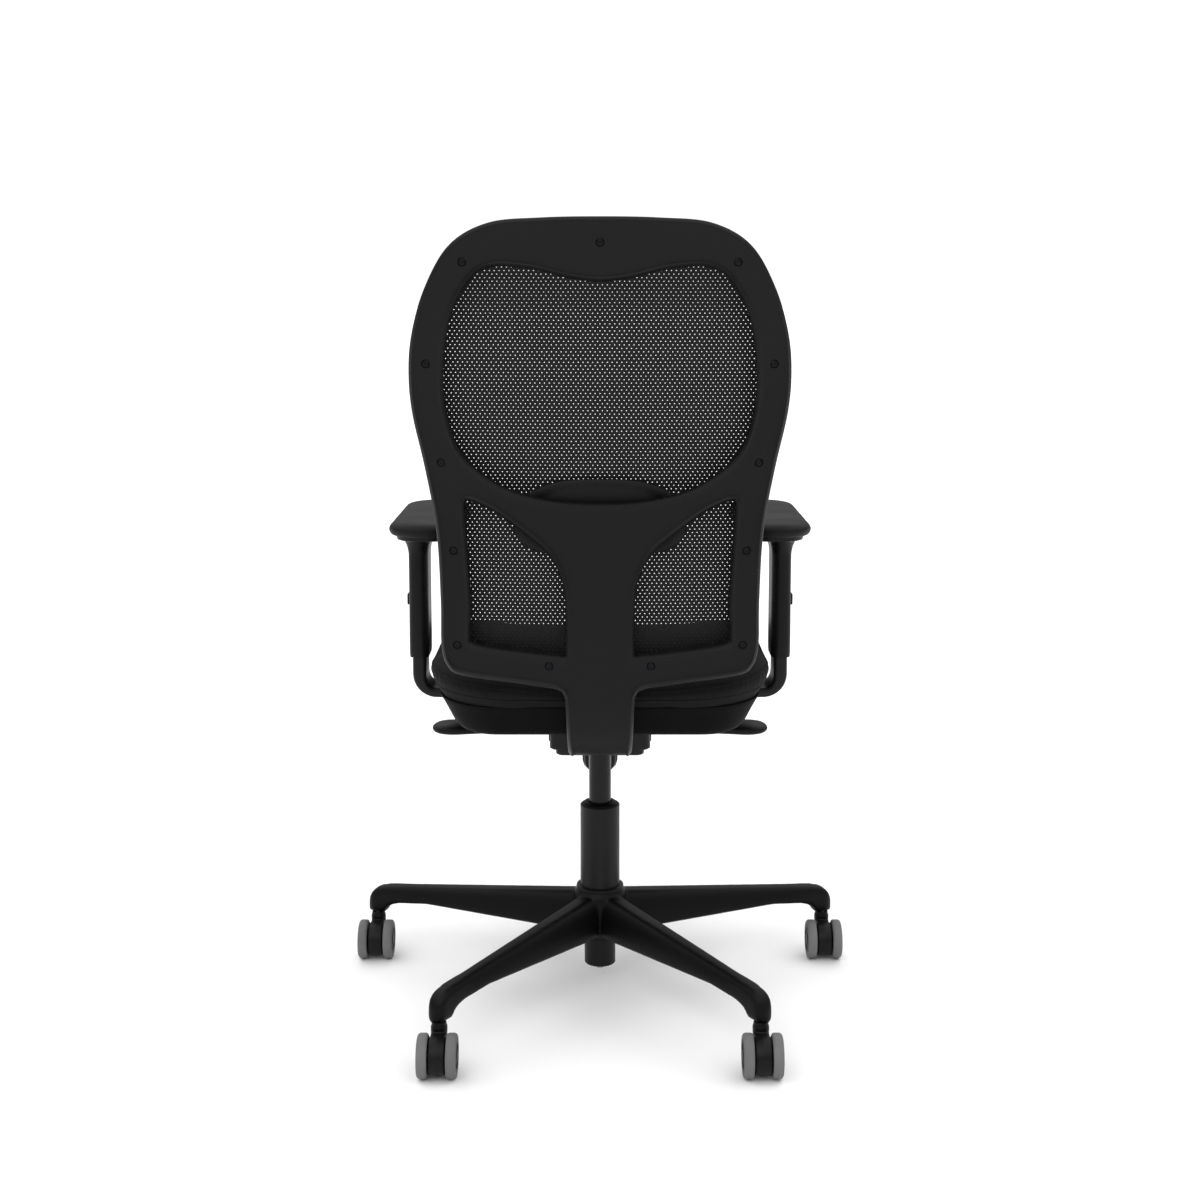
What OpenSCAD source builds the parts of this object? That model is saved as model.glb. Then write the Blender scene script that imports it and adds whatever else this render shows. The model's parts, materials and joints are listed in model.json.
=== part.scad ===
// Swivel office chair with a mesh back, height adjustable arms and a five arm base on twin wheel casters.
// Millimetres. The origin is on the floor under the column, +Z is up and the sitter faces -Y.

/* [Base] */
// Distance from the column to each caster's swivel axis
base_radius = 312; // [270:1:360]
// Height of the arms' top where they leave the hub
arm_top_z = 117; // [112:1:125]
// Height of the arms' top at their ends
arm_end_z = 90; // [84:1:96]
// Width of an arm at the hub
arm_root_width = 50; // [40:1:58]
// Width of an arm at its end
arm_tip_width = 30; // [26:1:36]
// Outer radius of the hub
hub_radius = 34; // [31:0.5:40]

/* [Casters] */
// Diameter of the wheels
wheel_diameter = 50; // [46:1:60]
// Width of one wheel
wheel_width = 12; // [9:0.5:16]
// Width of the hood between the wheels
hood_width = 20; // [18:0.5:26]
// Distance from the swivel axis back to the axle
caster_trail = 25; // [20:1:32]
// Radius of the swivel stem
stem_radius = 5.5; // [4.5:0.1:6]

/* [Column] */
// Outer radius of the column tube
tube_radius = 25; // [23:0.5:28]
// Height of the column tube's top
tube_top_z = 233; // [225:1:245]
// Radius of the gas cylinder
gas_radius = 14; // [12:0.5:16]
// Travel of the height adjustment
lift_travel = 120; // [80:5:130]

/* [Mechanism] */
// Height of the mechanism's underside
mech_bottom_z = 320; // [315:1:330]
// Half of the mechanism's width
mech_half_width = 61; // [56:1:70]
// Radius of the tension knob
knob_radius = 23.5; // [18:0.5:28]
// Height of the levers' paddles
paddle_z = 313; // [308:1:320]
// Distance from the middle to the tips of the paddles
paddle_reach = 218; // [190:1:240]

/* [Seat] */
// Half of the seat cushion's width
seat_half_width = 208; // [190:1:209]
// Depth of the seat cushion
seat_depth = 436; // [400:1:470]
// Height of the cushion's top
seat_top_z = 437; // [425:1:450]
// Thickness of the seat pan
pan_thickness = 14; // [10:1:16]

/* [Arms] */
// Distance from the middle to the inner face of the arm sleeves
sleeve_inner_x = 213.3; // [213:0.1:230]
// Width of an arm sleeve across the chair
sleeve_width = 24.4; // [22:0.1:30]
// Length of an arm sleeve along the chair
sleeve_length = 54; // [46:1:64]
// Height of the arm pads' top
pad_top_z = 605; // [595:1:620]
// Length of an arm pad
pad_length = 250; // [220:1:280]
// Width of an arm pad
pad_width = 86; // [70:1:95]
// Travel of the arms' height adjustment
arm_travel = 80; // [60:5:100]

/* [Back] */
// Half of the back frame's greatest width
back_half_width = 214; // [195:1:225]
// Height of the back frame's top
back_top_z = 961.5; // [930:0.5:1000]
// Thickness of the back frame
back_thickness = 12; // [9:0.5:14]
// Radius of the back frame's curve round the sitter
back_wrap = 915; // [800:5:1200]
// Half of the spine's width
spine_half_width = 40; // [34:0.5:44]
// Thickness of the woven mesh
mesh_thickness = 1.2; // [0.8:0.1:2]
// Travel of the lumbar pad up and down from its middle
lumbar_travel = 20; // [10:1:20]

/* [Hidden] */
$fn = 48;
fit = 0.06;             // radial clearance of a shaft in its hole
gap = 0.3;              // clearance between pieces that slide past each other
base_angles = [54, 126, 198, 270, 342];

// base and column
hub_bottom_z = 60;
hub_top_z = 125;
tube_step_z = 86;
tube_foot_z = 23;
tube_foot_radius = 19.75;
socket_bottom_z = wheel_diameter + 6;
socket_radius = 12;
plate_thickness = 5;
rod_radius = 5;
rod_collar_radius = 11;
bearing_thickness = 6;
bearing_z = tube_foot_z + plate_thickness;
cylinder_foot_z = 50;
cylinder_wall = 2;
piston_z = cylinder_foot_z + lift_travel + 14;
bush_length = 82;
bush_radius = tube_radius - 2.5;

// casters
axle_radius = 4;
axle_z = wheel_diameter / 2;
hood_radius = wheel_diameter / 2 - 2.6;
wheel_gap = 0.5;
axle_half_length = hood_width / 2 + wheel_gap + wheel_width - 1;
boss_radius = hood_width / 2 - 0.4;
collar_z = wheel_diameter + 1;

// mechanism
mech_top_z = mech_bottom_z + 38;
mech_floor = 6;
mech_step = 9;
mech_step_half_width = mech_half_width - 7;
mech_front_y = -140;
mech_rear_y = 100;
cavity_half_width = 38;
socket_top_z = mech_bottom_z + 15;
tilt_y = 35;
tilt_z = mech_bottom_z + 18;
tilt_radius = 6;
spring_wire = 1.3;
spring_radius = tilt_radius + spring_wire + gap;
spring_turns = 8;
spring_half_length = 20;
lever_x = mech_half_width + 9;
lever_y = -60;
lever_z = mech_bottom_z + 16;
lever_pin_radius = 3;
lever_thickness = 10;
lever_arm_z = mech_bottom_z + 24;
valve_radius = 4;
knob_y = -100;
knob_top_z = 290;
knob_foot_z = 247;

// seat
seat_front_y = -250;
seat_rear_y = seat_front_y + seat_depth;
plate_z = mech_top_z;
seat_plate_thickness = 6;
pan_z = plate_z + 14;
cushion_z = pan_z + pan_thickness + gap;
cushion_step = 14;
cushion_inset = 26;
bolt_x = 48;
bolt_ys = [-120, 84];
bolt_radius = 4;

// arms
sleeve_z = 430;
sleeve_wall = 3.5;
pad_plate_z = pad_top_z - 22;
collar_foot_z = pad_plate_z - 16;
post_top_z = sleeve_z + arm_travel + 51;
post_inner_x = sleeve_inner_x + sleeve_wall + gap;
post_outer_x = sleeve_inner_x + sleeve_width - sleeve_wall - gap;
post_half_length = sleeve_length / 2 - sleeve_wall - gap;
bracket_thickness = 12;
bracket_bend = 30;
bracket_inner_x = 70;
bracket_knee_x = 120;
bracket_rise = 16;
pad_outer_x = sleeve_inner_x + sleeve_width + 18;
pad_front_y = 100 - pad_length;
button_size = 14;
button_press = 3;
button_proud = button_press + 0.8;
button_z = 497;

// back
back_bottom_z = 429;
back_axis_y = 215 - back_wrap;
mesh_wrap = 1400;
mesh_offset = 26;
carrier_ring = 0.955;
carrier_hole = 0.885;
bend_radius = 75;
bend_y = 139.5;
spine_thickness = back_thickness - 0.8;
bar_thickness = 8;
bar_half_width = 30;
bar_radius = bend_radius - back_thickness - 0.1;
bend_z = mech_top_z - 1 - bar_thickness + bar_radius;
bar_top_z = bend_z + 40;
screw_radius = 2;
screw_head_radius = 4.3;
screw_head = 3;
lumbar_z = 626;
lumbar_half_width = 96;
lumbar_half_height = 45;
lumbar_carrier_half_height = 38 - lumbar_travel;
lumbar_thickness = 5;

// Rear surface of the back at the middle, as height and distance behind the column.
back_profile = [[395, 214.4], [430, 215], [645, 218], [720, 226], [793, 235], [900, 258], [970, 278]];

// Right half of the back frame's outline from the top to the bottom, in shares of its half width.
outline_half = [
    [0, back_top_z], [0.3, back_top_z - 1.2], [0.565, back_top_z - 6.5], [0.766, back_top_z - 30],
    [0.90, back_top_z - 76], [0.977, back_top_z - 127], [1, back_top_z - 172], [0.985, 744],
    [0.925, 683], [0.868, 610], [0.850, 530], [0.848, 478], [0.815, 454], [0.735, 444],
    [0.45, 437], [0.19, 430], [0, back_bottom_z]
];

// Right half of the large opening: its dipped top, its side and its round bottom.
upper_half = [
    [0, back_top_z - 70], [0.16, back_top_z - 66], [0.36, back_top_z - 56], [0.56, back_top_z - 54.5],
    [0.68, back_top_z - 72], [0.775, back_top_z - 112], [0.815, back_top_z - 171], [0.80, 744],
    [0.725, 700], [0.58, 672], [0.42, 656], [0.21, 647], [0, 645]
];

// Lower opening beside the spine, from its inner foot round to its outer corner.
lower_points = [
    [spine_half_width, 474], [spine_half_width, 536], [spine_half_width + 7, 566],
    [spine_half_width + 21, 589], [spine_half_width + 50, 613], [0.56 * back_half_width, 634],
    [0.69 * back_half_width, 646], [0.713 * back_half_width, 640], [0.70 * back_half_width, 590],
    [0.685 * back_half_width, 530], [0.69 * back_half_width, 492], [0.655 * back_half_width, 481],
    [0.40 * back_half_width, 474], [spine_half_width + 6, 470]
];

// Screws that hold the mesh carrier, as shares of the half width and heights.
screw_places = [
    [0, back_top_z - 27], [0.70, back_top_z - 48], [0.905, back_top_z - 160], [0.835, 690],
    [0.775, 589], [0.76, 480], [0.27, 458]
];

function mix(a, b, t) = a + (b - a) * t;
function smooth(a, b, c, d, t) =
    0.5 * (2 * b + (c - a) * t + (2 * a - 5 * b + 4 * c - d) * t * t + (3 * b - a - 3 * c + d) * t * t * t);
function at(points, i) = points[max(0, min(len(points) - 1, i))];
function spline(points, steps = 4) = concat(
    [for (i = [0:len(points) - 2], s = [0:steps - 1])
        smooth(at(points, i - 1), points[i], points[i + 1], at(points, i + 2), s / steps)],
    [points[len(points) - 1]]
);
function closed_spline(points, steps = 3) = [
    for (i = [0:len(points) - 1], s = [0:steps - 1])
        let (n = len(points))
            smooth(points[(i + n - 1) % n], points[i], points[(i + 1) % n], points[(i + 2) % n], s / steps)
];
function widened(half) = [for (p = half) [p[0] * back_half_width, p[1]]];
function mirrored(side) = concat(side, [for (i = [len(side) - 2:-1:1]) [-side[i][0], side[i][1]]]);
function arc(x, y, radius, from, to, steps = 10) =
    [for (i = [0:steps]) let (a = mix(from, to, i / steps)) [x + radius * cos(a), y + radius * sin(a)]];
function back_y(z) = lookup(z, back_profile);
function wrapped_y(x, z) = back_axis_y + sqrt(pow(back_y(z) - back_axis_y, 2) - x * x);

// ---- shared shapes ----

module ring(outer, inner, z, height) {
    translate([0, 0, z])
        difference() {
            cylinder(r = outer, h = height);
            translate([0, 0, -1])
                cylinder(r = inner, h = height + 2);
        }
}

module block(low, high) {
    translate(low)
        cube(high - low);
}

// A round bar along X.
module bar_x(radius, from, to, y, z) {
    translate([from, y, z])
        rotate([0, 90, 0])
            cylinder(r = radius, h = to - from);
}

// A round bar along Y.
module bar_y(radius, x, from, to, z) {
    translate([x, from, z])
        rotate([-90, 0, 0])
            cylinder(r = radius, h = to - from);
}

module rounded(low, high, radius) {
    block2d([low[0] + radius, low[1]], [high[0] - radius, high[1]]);
    block2d([low[0], low[1] + radius], [high[0], high[1] - radius]);
    for (x = [low[0] + radius, high[0] - radius], y = [low[1] + radius, high[1] - radius])
        translate([x, y])
            circle(r = radius);
}

module block2d(low, high) {
    translate(low)
        square(high - low);
}

// An outline in X and Z, stretched from one Y to another.
module across_y(from, to) {
    translate([0, to, 0])
        rotate([90, 0, 0])
            linear_extrude(to - from)
                children();
}

// An outline in Y and Z, stretched from one X to another.
module across_x(from, to) {
    translate([from, 0, 0])
        rotate([90, 0, 90])
            linear_extrude(to - from)
                children();
}

module on_left() {
    children();
}

module on_right() {
    mirror([1, 0, 0])
        children();
}

module at_caster(k) {
    a = base_angles[k - 1];
    translate([base_radius * cos(a), base_radius * sin(a), 0])
        children();
}

// ---- base and column ----

// Side view of an arm: a falling top, a bend at the end and a flat foot over the caster.
module arm_side() {
    r = 26;
    tip = base_radius + socket_radius;
    polygon(concat(
        [[0, hub_bottom_z + 5], [0, arm_top_z], [0.34 * base_radius, arm_top_z - 4],
         [0.76 * base_radius, arm_top_z - 16]],
        arc(tip - r, arm_end_z - r, r, 90, 0, 8),
        [[tip, socket_bottom_z], [base_radius - socket_radius, socket_bottom_z]],
        arc(base_radius - socket_radius - 12, socket_bottom_z, 12, 0, 90, 6),
        [[0.76 * base_radius, 76]]
    ));
}

module arm_plan() {
    polygon(concat(
        [[0, -arm_root_width / 2]],
        [[0.76 * base_radius, -arm_tip_width / 2], [base_radius - 8, -socket_radius]],
        arc(base_radius, 0, socket_radius, -90, 90, 14),
        [[base_radius - 8, socket_radius], [0.76 * base_radius, arm_tip_width / 2]],
        [[0, arm_root_width / 2]]
    ));
}

module base_star() {
    color([0.13, 0.13, 0.14])
        difference() {
            union() {
                translate([0, 0, hub_bottom_z])
                    cylinder(r = hub_radius, h = hub_top_z - hub_bottom_z);
                for (a = base_angles)
                    rotate([0, 0, a])
                        intersection() {
                            across_y(-arm_root_width, arm_root_width)
                                arm_side();
                            linear_extrude(hub_top_z)
                                arm_plan();
                        }
            }
            translate([0, 0, tube_step_z])
                cylinder(r = tube_radius + fit, h = hub_top_z);
            translate([0, 0, hub_bottom_z - 1])
                cylinder(r = tube_foot_radius + fit, h = hub_top_z);
            for (k = [1:len(base_angles)])
                at_caster(k)
                    translate([0, 0, socket_bottom_z - 1])
                        cylinder(r = stem_radius + fit, h = arm_end_z - socket_bottom_z - 13);
        }
}

module column_tube() {
    color([0.13, 0.13, 0.14])
        difference() {
            union() {
                translate([0, 0, tube_step_z])
                    cylinder(r = tube_radius, h = tube_top_z - tube_step_z);
                translate([0, 0, tube_foot_z])
                    cylinder(r = tube_foot_radius, h = tube_step_z - tube_foot_z);
            }
            translate([0, 0, tube_foot_z - 1])
                cylinder(r = rod_radius + fit, h = plate_thickness + 2);
            translate([0, 0, bearing_z])
                cylinder(r = tube_foot_radius - cylinder_wall, h = tube_top_z);
            translate([0, 0, tube_step_z + cylinder_wall])
                cylinder(r = bush_radius, h = tube_top_z);
        }
}

module column_guide_bush() {
    color([0.1, 0.1, 0.1])
        ring(bush_radius - fit, gas_radius + fit, tube_top_z - bush_length, bush_length);
}

module thrust_bearing() {
    color([0.6, 0.6, 0.62])
        ring(tube_foot_radius - cylinder_wall - fit, rod_radius + fit, bearing_z, bearing_thickness);
}

module gas_rod() {
    color([0.75, 0.75, 0.77]) {
        translate([0, 0, tube_foot_z - 7])
            cylinder(r = rod_radius, h = piston_z - tube_foot_z + 7);
        translate([0, 0, bearing_z + bearing_thickness])
            cylinder(r = rod_collar_radius, h = 4);
        translate([0, 0, piston_z])
            cylinder(r = gas_radius - cylinder_wall - fit, h = 12);
    }
}

module column_clip() {
    color([0.6, 0.6, 0.62])
        ring(rod_radius + 4, rod_radius + fit / 2, tube_foot_z - 2.5, 2.2);
}

module gas_cylinder() {
    color([0.1, 0.1, 0.11])
        difference() {
            translate([0, 0, cylinder_foot_z])
                cylinder(r = gas_radius, h = socket_top_z - cylinder_foot_z);
            translate([0, 0, cylinder_foot_z - 1])
                cylinder(r = rod_radius + fit, h = 12);
            translate([0, 0, cylinder_foot_z + 8])
                cylinder(r = gas_radius - cylinder_wall, h = mech_bottom_z - cylinder_foot_z - 10);
            translate([0, 0, mech_bottom_z + 3])
                cylinder(r = valve_radius + fit, h = 30);
        }
}

module valve_pin() {
    color([0.75, 0.75, 0.77])
        translate([0, 0, mech_bottom_z + 8])
            cylinder(r = valve_radius, h = lever_arm_z - gap - mech_bottom_z - 8);
}

// ---- mechanism ----

module mechanism_housing() {
    wall = mech_half_width - cavity_half_width;
    color([0.12, 0.12, 0.13])
        difference() {
            union() {
                block([-mech_half_width, mech_front_y, mech_bottom_z + mech_step],
                      [mech_half_width, mech_rear_y, mech_top_z]);
                block([-mech_step_half_width, mech_front_y + 6, mech_bottom_z],
                      [mech_step_half_width, mech_rear_y - 6, mech_top_z]);
                for (s = [-1, 1], y = [lever_y - 13, lever_y + 6])
                    block([min(s * (mech_half_width - 1), s * (lever_x + 6)), y, mech_bottom_z + mech_step],
                          [max(s * (mech_half_width - 1), s * (lever_x + 6)), y + 7, lever_z + 6]);
            }
            difference() {
                block([-cavity_half_width, mech_front_y + 8, mech_bottom_z + mech_floor],
                      [cavity_half_width, mech_rear_y + 1, mech_top_z + 1]);
                translate([0, 0, mech_bottom_z])
                    cylinder(r = gas_radius + 8, h = socket_top_z - mech_bottom_z + 3);
            }
            block([-cavity_half_width, gas_radius + 2, mech_bottom_z - 1],
                  [cavity_half_width, mech_rear_y + 1, mech_bottom_z + mech_floor + 1]);
            translate([0, 0, mech_bottom_z - 1])
                cylinder(r = gas_radius + fit, h = socket_top_z - mech_bottom_z + 1);
            translate([0, 0, mech_bottom_z])
                cylinder(r = 2 * valve_radius, h = mech_top_z);
            bar_x(tilt_radius + fit, -mech_half_width - 1, mech_half_width + 1, tilt_y, tilt_z);
            for (s = [-1, 1]) {
                bar_y(lever_pin_radius + fit, s * lever_x, lever_y - 20, lever_y + 20, lever_z);
                translate([s * (cavity_half_width + wall / 2), lever_y, (lever_z + mech_top_z) / 2])
                    cube([wall + 2, lever_thickness + 1.6, mech_top_z - lever_z + 14], center = true);
            }
            translate([0, knob_y, mech_bottom_z - 1])
                cylinder(r = rod_radius + fit, h = mech_floor + 2);
        }
}

// Torsion spring wound round the tilt shaft.
module tilt_spring() {
    sides = 6;
    per_turn = 16;
    rings = spring_turns * per_turn;
    points = [
        for (i = [0:rings], j = [0:sides - 1])
            let (
                a = 360 * i / per_turn,
                b = 360 * j / sides,
                r = spring_radius + spring_wire * cos(b)
            )
                [mix(-spring_half_length, spring_half_length, i / rings) + spring_wire * sin(b),
                 tilt_y + r * cos(a), tilt_z + r * sin(a)]
    ];
    skin = [
        for (i = [0:rings - 1], j = [0:sides - 1])
            let (a = i * sides + j, b = i * sides + (j + 1) % sides)
                [a, b, b + sides, a + sides]
    ];
    ends = [[for (j = [sides - 1:-1:0]) j], [for (j = [0:sides - 1]) rings * sides + j]];
    color([0.55, 0.55, 0.57])
        polyhedron(points, concat(skin, ends));
}

module tilt_shaft() {
    color([0.6, 0.6, 0.62])
        bar_x(tilt_radius, -mech_half_width - 2, mech_half_width + 2, tilt_y, tilt_z);
}

module lever_pins() {
    color([0.6, 0.6, 0.62])
        for (s = [-1, 1])
            bar_y(lever_pin_radius, s * lever_x, lever_y - 15, lever_y + 15, lever_z);
}

module tension_knob() {
    lobes = 12;
    color([0.1, 0.1, 0.1]) {
        difference() {
            translate([0, knob_y, 0])
                rotate_extrude()
                    polygon(concat(
                        [[0, knob_foot_z], [knob_radius - 9, knob_foot_z]],
                        arc(knob_radius - 9, knob_foot_z + 9, 9, -90, 0, 6),
                        [[knob_radius, knob_top_z - 3], [knob_radius - 3, knob_top_z], [9, knob_top_z],
                         [9, mech_bottom_z - gap], [0, mech_bottom_z - gap]]
                    ));
            for (i = [0:lobes - 1])
                translate([0, knob_y, 0])
                    rotate([0, 0, 360 * i / lobes])
                        translate([knob_radius + 1.2, 0, knob_foot_z - 1])
                            cylinder(r = 2.6, h = knob_top_z - knob_foot_z + 2);
        }
        translate([0, knob_y, mech_bottom_z - 1])
            cylinder(r = rod_radius, h = mech_floor + 9);
    }
}

// Lever on the left: an eye on the pin, a nose through the housing's window and an arm that drops outwards.
module lever(nose_x) {
    half = lever_thickness / 2;
    color([0.12, 0.12, 0.12])
        difference() {
            union() {
                bar_y(6, lever_x, lever_y - half, lever_y + half, lever_z);
                across_y(lever_y - half, lever_y + half)
                    polygon([
                        [nose_x, lever_arm_z], [lever_x - 3, lever_z - 3], [lever_x + 4, lever_z - 5],
                        [lever_x + 60, paddle_z - 3], [paddle_reach - 60, paddle_z - 3],
                        [paddle_reach - 60, paddle_z + 4], [lever_x + 62, paddle_z + 4],
                        [lever_x + 4, lever_z + 5], [lever_x - 3, lever_arm_z + 3], [nose_x, lever_arm_z + 3]
                    ]);
            }
            bar_y(lever_pin_radius + fit, lever_x, lever_y - 20, lever_y + 20, lever_z);
        }
}

module paddle() {
    tip = 16;
    color([0.12, 0.12, 0.12])
        difference() {
            across_y(lever_y - 26, lever_y + 22)
                polygon(concat(
                    [[paddle_reach - 82, paddle_z - 7], [paddle_reach - 20, paddle_z - 9]],
                    arc(paddle_reach - 8, paddle_z, 8, -70, 70, 8),
                    [[paddle_reach - 20, paddle_z + 9], [paddle_reach - 82, paddle_z + 7.5]]
                ));
            block([paddle_reach - 90, lever_y - lever_thickness / 2 - 0.2, paddle_z - 3.2],
                  [paddle_reach - 60 + 0.2, lever_y + lever_thickness / 2 + 0.2, paddle_z + 4.2]);
            for (y = [lever_y - 26, lever_y + 22])
                translate([paddle_reach, y, 0])
                    cylinder(r = tip, h = mech_top_z);
        }
}

// Arm inside the housing that reaches from the lever's nose to the valve pin.
module valve_arm() {
    color([0.12, 0.12, 0.12])
        linear_extrude(3)
            polygon([[cavity_half_width - 12, lever_y - 5], [cavity_half_width - 12, lever_y + 5],
                     [8, lever_y + 12], [6, 6], [-6, 6], [-6, lever_y + 2], [2, lever_y - 5]]);
}

module height_lever() {
    on_right() {
        lever(cavity_half_width - 14);
        translate([0, 0, lever_arm_z])
            valve_arm();
    }
}

module height_lever_paddle() {
    on_right()
        paddle();
}

module tilt_lever() {
    on_left()
        lever(cavity_half_width - 14);
}

module tilt_lever_paddle() {
    on_left()
        paddle();
}

// ---- seat ----

module seat_plate() {
    color([0.15, 0.15, 0.16])
        difference() {
            union() {
                block([-mech_half_width, mech_front_y, plate_z],
                      [mech_half_width, mech_rear_y, plate_z + seat_plate_thickness]);
                for (x = [-bolt_x, bolt_x], y = bolt_ys)
                    translate([x, y, plate_z])
                        cylinder(r = 12, h = pan_z - plate_z);
            }
            seat_bolt_holes(bolt_radius + fit);
        }
}

module seat_bolt_holes(radius) {
    for (x = [-bolt_x, bolt_x], y = bolt_ys)
        translate([x, y, mech_top_z - 14])
            cylinder(r = radius, h = pan_z + pan_thickness - 4 - mech_top_z + 14);
}

module seat_bolts() {
    color([0.6, 0.6, 0.62])
        seat_bolt_rods();
}

module seat_bolt_rods() {
    for (x = [-bolt_x, bolt_x], y = bolt_ys)
        translate([x, y, plate_z + 0.5])
            cylinder(r = bolt_radius, h = pan_z + pan_thickness - 5 - plate_z);
}

module seat_pan() {
    color([0.1, 0.1, 0.1])
        difference() {
            translate([0, 0, pan_z])
                linear_extrude(pan_thickness)
                    rounded([-seat_half_width + 40, seat_front_y + 20], [seat_half_width - 40, seat_rear_y - 14], 50);
            seat_bolt_holes(bolt_radius + fit);
        }
}

module seat_cushion() {
    color([0.08, 0.08, 0.085]) {
        translate([0, 0, cushion_z])
            linear_extrude(cushion_step)
                rounded([-seat_half_width + cushion_inset, seat_front_y + cushion_inset],
                        [seat_half_width - cushion_inset, seat_rear_y - cushion_inset / 2], 55);
        translate([0, 0, cushion_z + cushion_step])
            linear_extrude(seat_top_z - cushion_z - cushion_step)
                rounded([-seat_half_width, seat_front_y], [seat_half_width, seat_rear_y], 70);
    }
}

// ---- arms ----

module arm_bracket() {
    bend_x = post_outer_x - bracket_bend;
    bend_centre_z = pan_z + bracket_rise + 2;
    color([0.12, 0.12, 0.13])
        difference() {
            across_y(-post_half_length, post_half_length)
                polygon(concat(
                    [[bracket_inner_x, pan_z], [bracket_inner_x, pan_z - bracket_thickness],
                     [bracket_knee_x, pan_z - bracket_thickness]],
                    arc(bend_x, bend_centre_z + bracket_bend / 2, bracket_bend, -80, 0, 8),
                    [[post_outer_x, post_top_z], [post_inner_x, post_top_z]],
                    arc(bend_x, bend_centre_z + bracket_bend / 2, bracket_bend - post_outer_x + post_inner_x,
                        0, -80, 6),
                    [[seat_half_width - 39.5, pan_z]]
                ));
            block([post_outer_x - 6, -button_size / 2 - 1.5, button_z - button_size - 4],
                  [post_outer_x + 1, button_size / 2 + 1.5, post_top_z + 1]);
        }
}

module arm_sleeve() {
    outer_x = sleeve_inner_x + sleeve_width;
    color([0.12, 0.12, 0.13])
        difference() {
            union() {
                block([sleeve_inner_x, -sleeve_length / 2, sleeve_z], [outer_x, sleeve_length / 2, pad_plate_z]);
                block([sleeve_inner_x - 5, -sleeve_length / 2 - 12, collar_foot_z + 8],
                      [outer_x + 6, sleeve_length / 2 + 12, pad_plate_z]);
            }
            block([sleeve_inner_x + sleeve_wall, -sleeve_length / 2 + sleeve_wall, sleeve_z - 1],
                  [outer_x - sleeve_wall, sleeve_length / 2 - sleeve_wall, collar_foot_z + 4]);
            block([outer_x - sleeve_wall - 1, -button_size / 2 - gap, button_z - button_size / 2 - gap],
                  [outer_x + 1, button_size / 2 + gap, button_z + button_size / 2 + gap]);
        }
}

module arm_button() {
    outer_x = sleeve_inner_x + sleeve_width;
    color([0.1, 0.1, 0.1])
        block([outer_x - sleeve_wall + gap, -button_size / 2, button_z - button_size / 2],
              [outer_x + button_proud, button_size / 2, button_z + button_size / 2]);
}

module arm_pad_plate() {
    color([0.2, 0.2, 0.2])
        translate([0, 0, pad_plate_z])
            linear_extrude(4)
                rounded([pad_outer_x - pad_width + 12, pad_front_y + 12], [pad_outer_x - 12, 88], 20);
}

module arm_pad() {
    color([0.09, 0.09, 0.09])
        translate([0, 0, pad_plate_z + 4])
            linear_extrude(pad_top_z - pad_plate_z - 4)
                rounded([pad_outer_x - pad_width, pad_front_y], [pad_outer_x, 100], 30);
}

// ---- back ----

// Everything between two distances behind the rear surface of the back, wrapped round the sitter.
module back_slab(front, rear, wrap) {
    axis_y = 215 - wrap;
    low_z = back_profile[0][0];
    rear_side = [for (p = back_profile) [p[1] + rear - axis_y, p[0]]];
    front_side = [for (i = [len(back_profile) - 1:-1:0])
        [back_profile[i][1] + front - axis_y, back_profile[i][0]]];
    spread = 34;
    translate([0, axis_y, 0])
        rotate([0, 0, 90 - spread / 2])
            rotate_extrude(angle = spread, $fn = 360)
                polygon(concat(rear_side, front_side));
}

module outline(share) {
    middle = (back_top_z + back_bottom_z) / 2;
    points = mirrored(spline(widened(outline_half)));
    polygon([for (p = points) [p[0] * share, middle + (p[1] - middle) * share]]);
}

module screw_axes() {
    for (p = screw_places, s = [-1, 1])
        if (s > 0 || p[0] > 0)
            translate([s * p[0] * back_half_width, wrapped_y(p[0] * back_half_width, p[1]), p[1]])
                rotate([90, 0, 0])
                    children();
}

module spine_hook() {
    across_x(-spine_half_width + 4, spine_half_width - 4)
        polygon(concat(
            [[bend_y + bend_radius - spine_thickness, bend_z + 40], [bend_y + bend_radius, bend_z + 40]],
            arc(bend_y, bend_z, bend_radius, 0, -90, 14),
            arc(bend_y, bend_z, bend_radius - spine_thickness, -90, 0, 14)
        ));
}

module back_frame() {
    color([0.12, 0.12, 0.125])
        difference() {
            union() {
                intersection() {
                    back_slab(-back_thickness, 0, back_wrap);
                    across_y(100, 330)
                        difference() {
                            outline(1);
                            polygon(mirrored(spline(widened(upper_half))));
                            polygon(closed_spline(lower_points));
                            mirror([1, 0])
                                polygon(closed_spline(lower_points));
                        }
                }
                spine_hook();
            }
            screw_axes() {
                translate([0, 0, -2])
                    cylinder(r = screw_head_radius + 0.2, h = screw_head + 2);
                cylinder(r = screw_radius + fit, h = 40);
            }
            bracket_bolt_axes(bolt_radius + fit);
        }
}

module mesh_carrier() {
    color([0.1, 0.1, 0.1])
        difference() {
            intersection() {
                back_slab(-60, -back_thickness - gap, back_wrap);
                back_slab(-mesh_offset, 40, mesh_wrap);
                across_y(100, 330)
                    difference() {
                        outline(carrier_ring);
                        outline(carrier_hole);
                    }
            }
            block([-bar_half_width - 1, 100, back_bottom_z], [bar_half_width + 1, 330, bar_top_z + 1]);
            screw_axes()
                cylinder(r = screw_radius + fit, h = back_thickness + 6);
        }
}

module back_mesh() {
    color([0.16, 0.16, 0.17])
        intersection() {
            back_slab(-mesh_offset - gap - mesh_thickness, -mesh_offset - gap, mesh_wrap);
            across_y(100, 330)
                outline(carrier_ring);
        }
}

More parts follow.
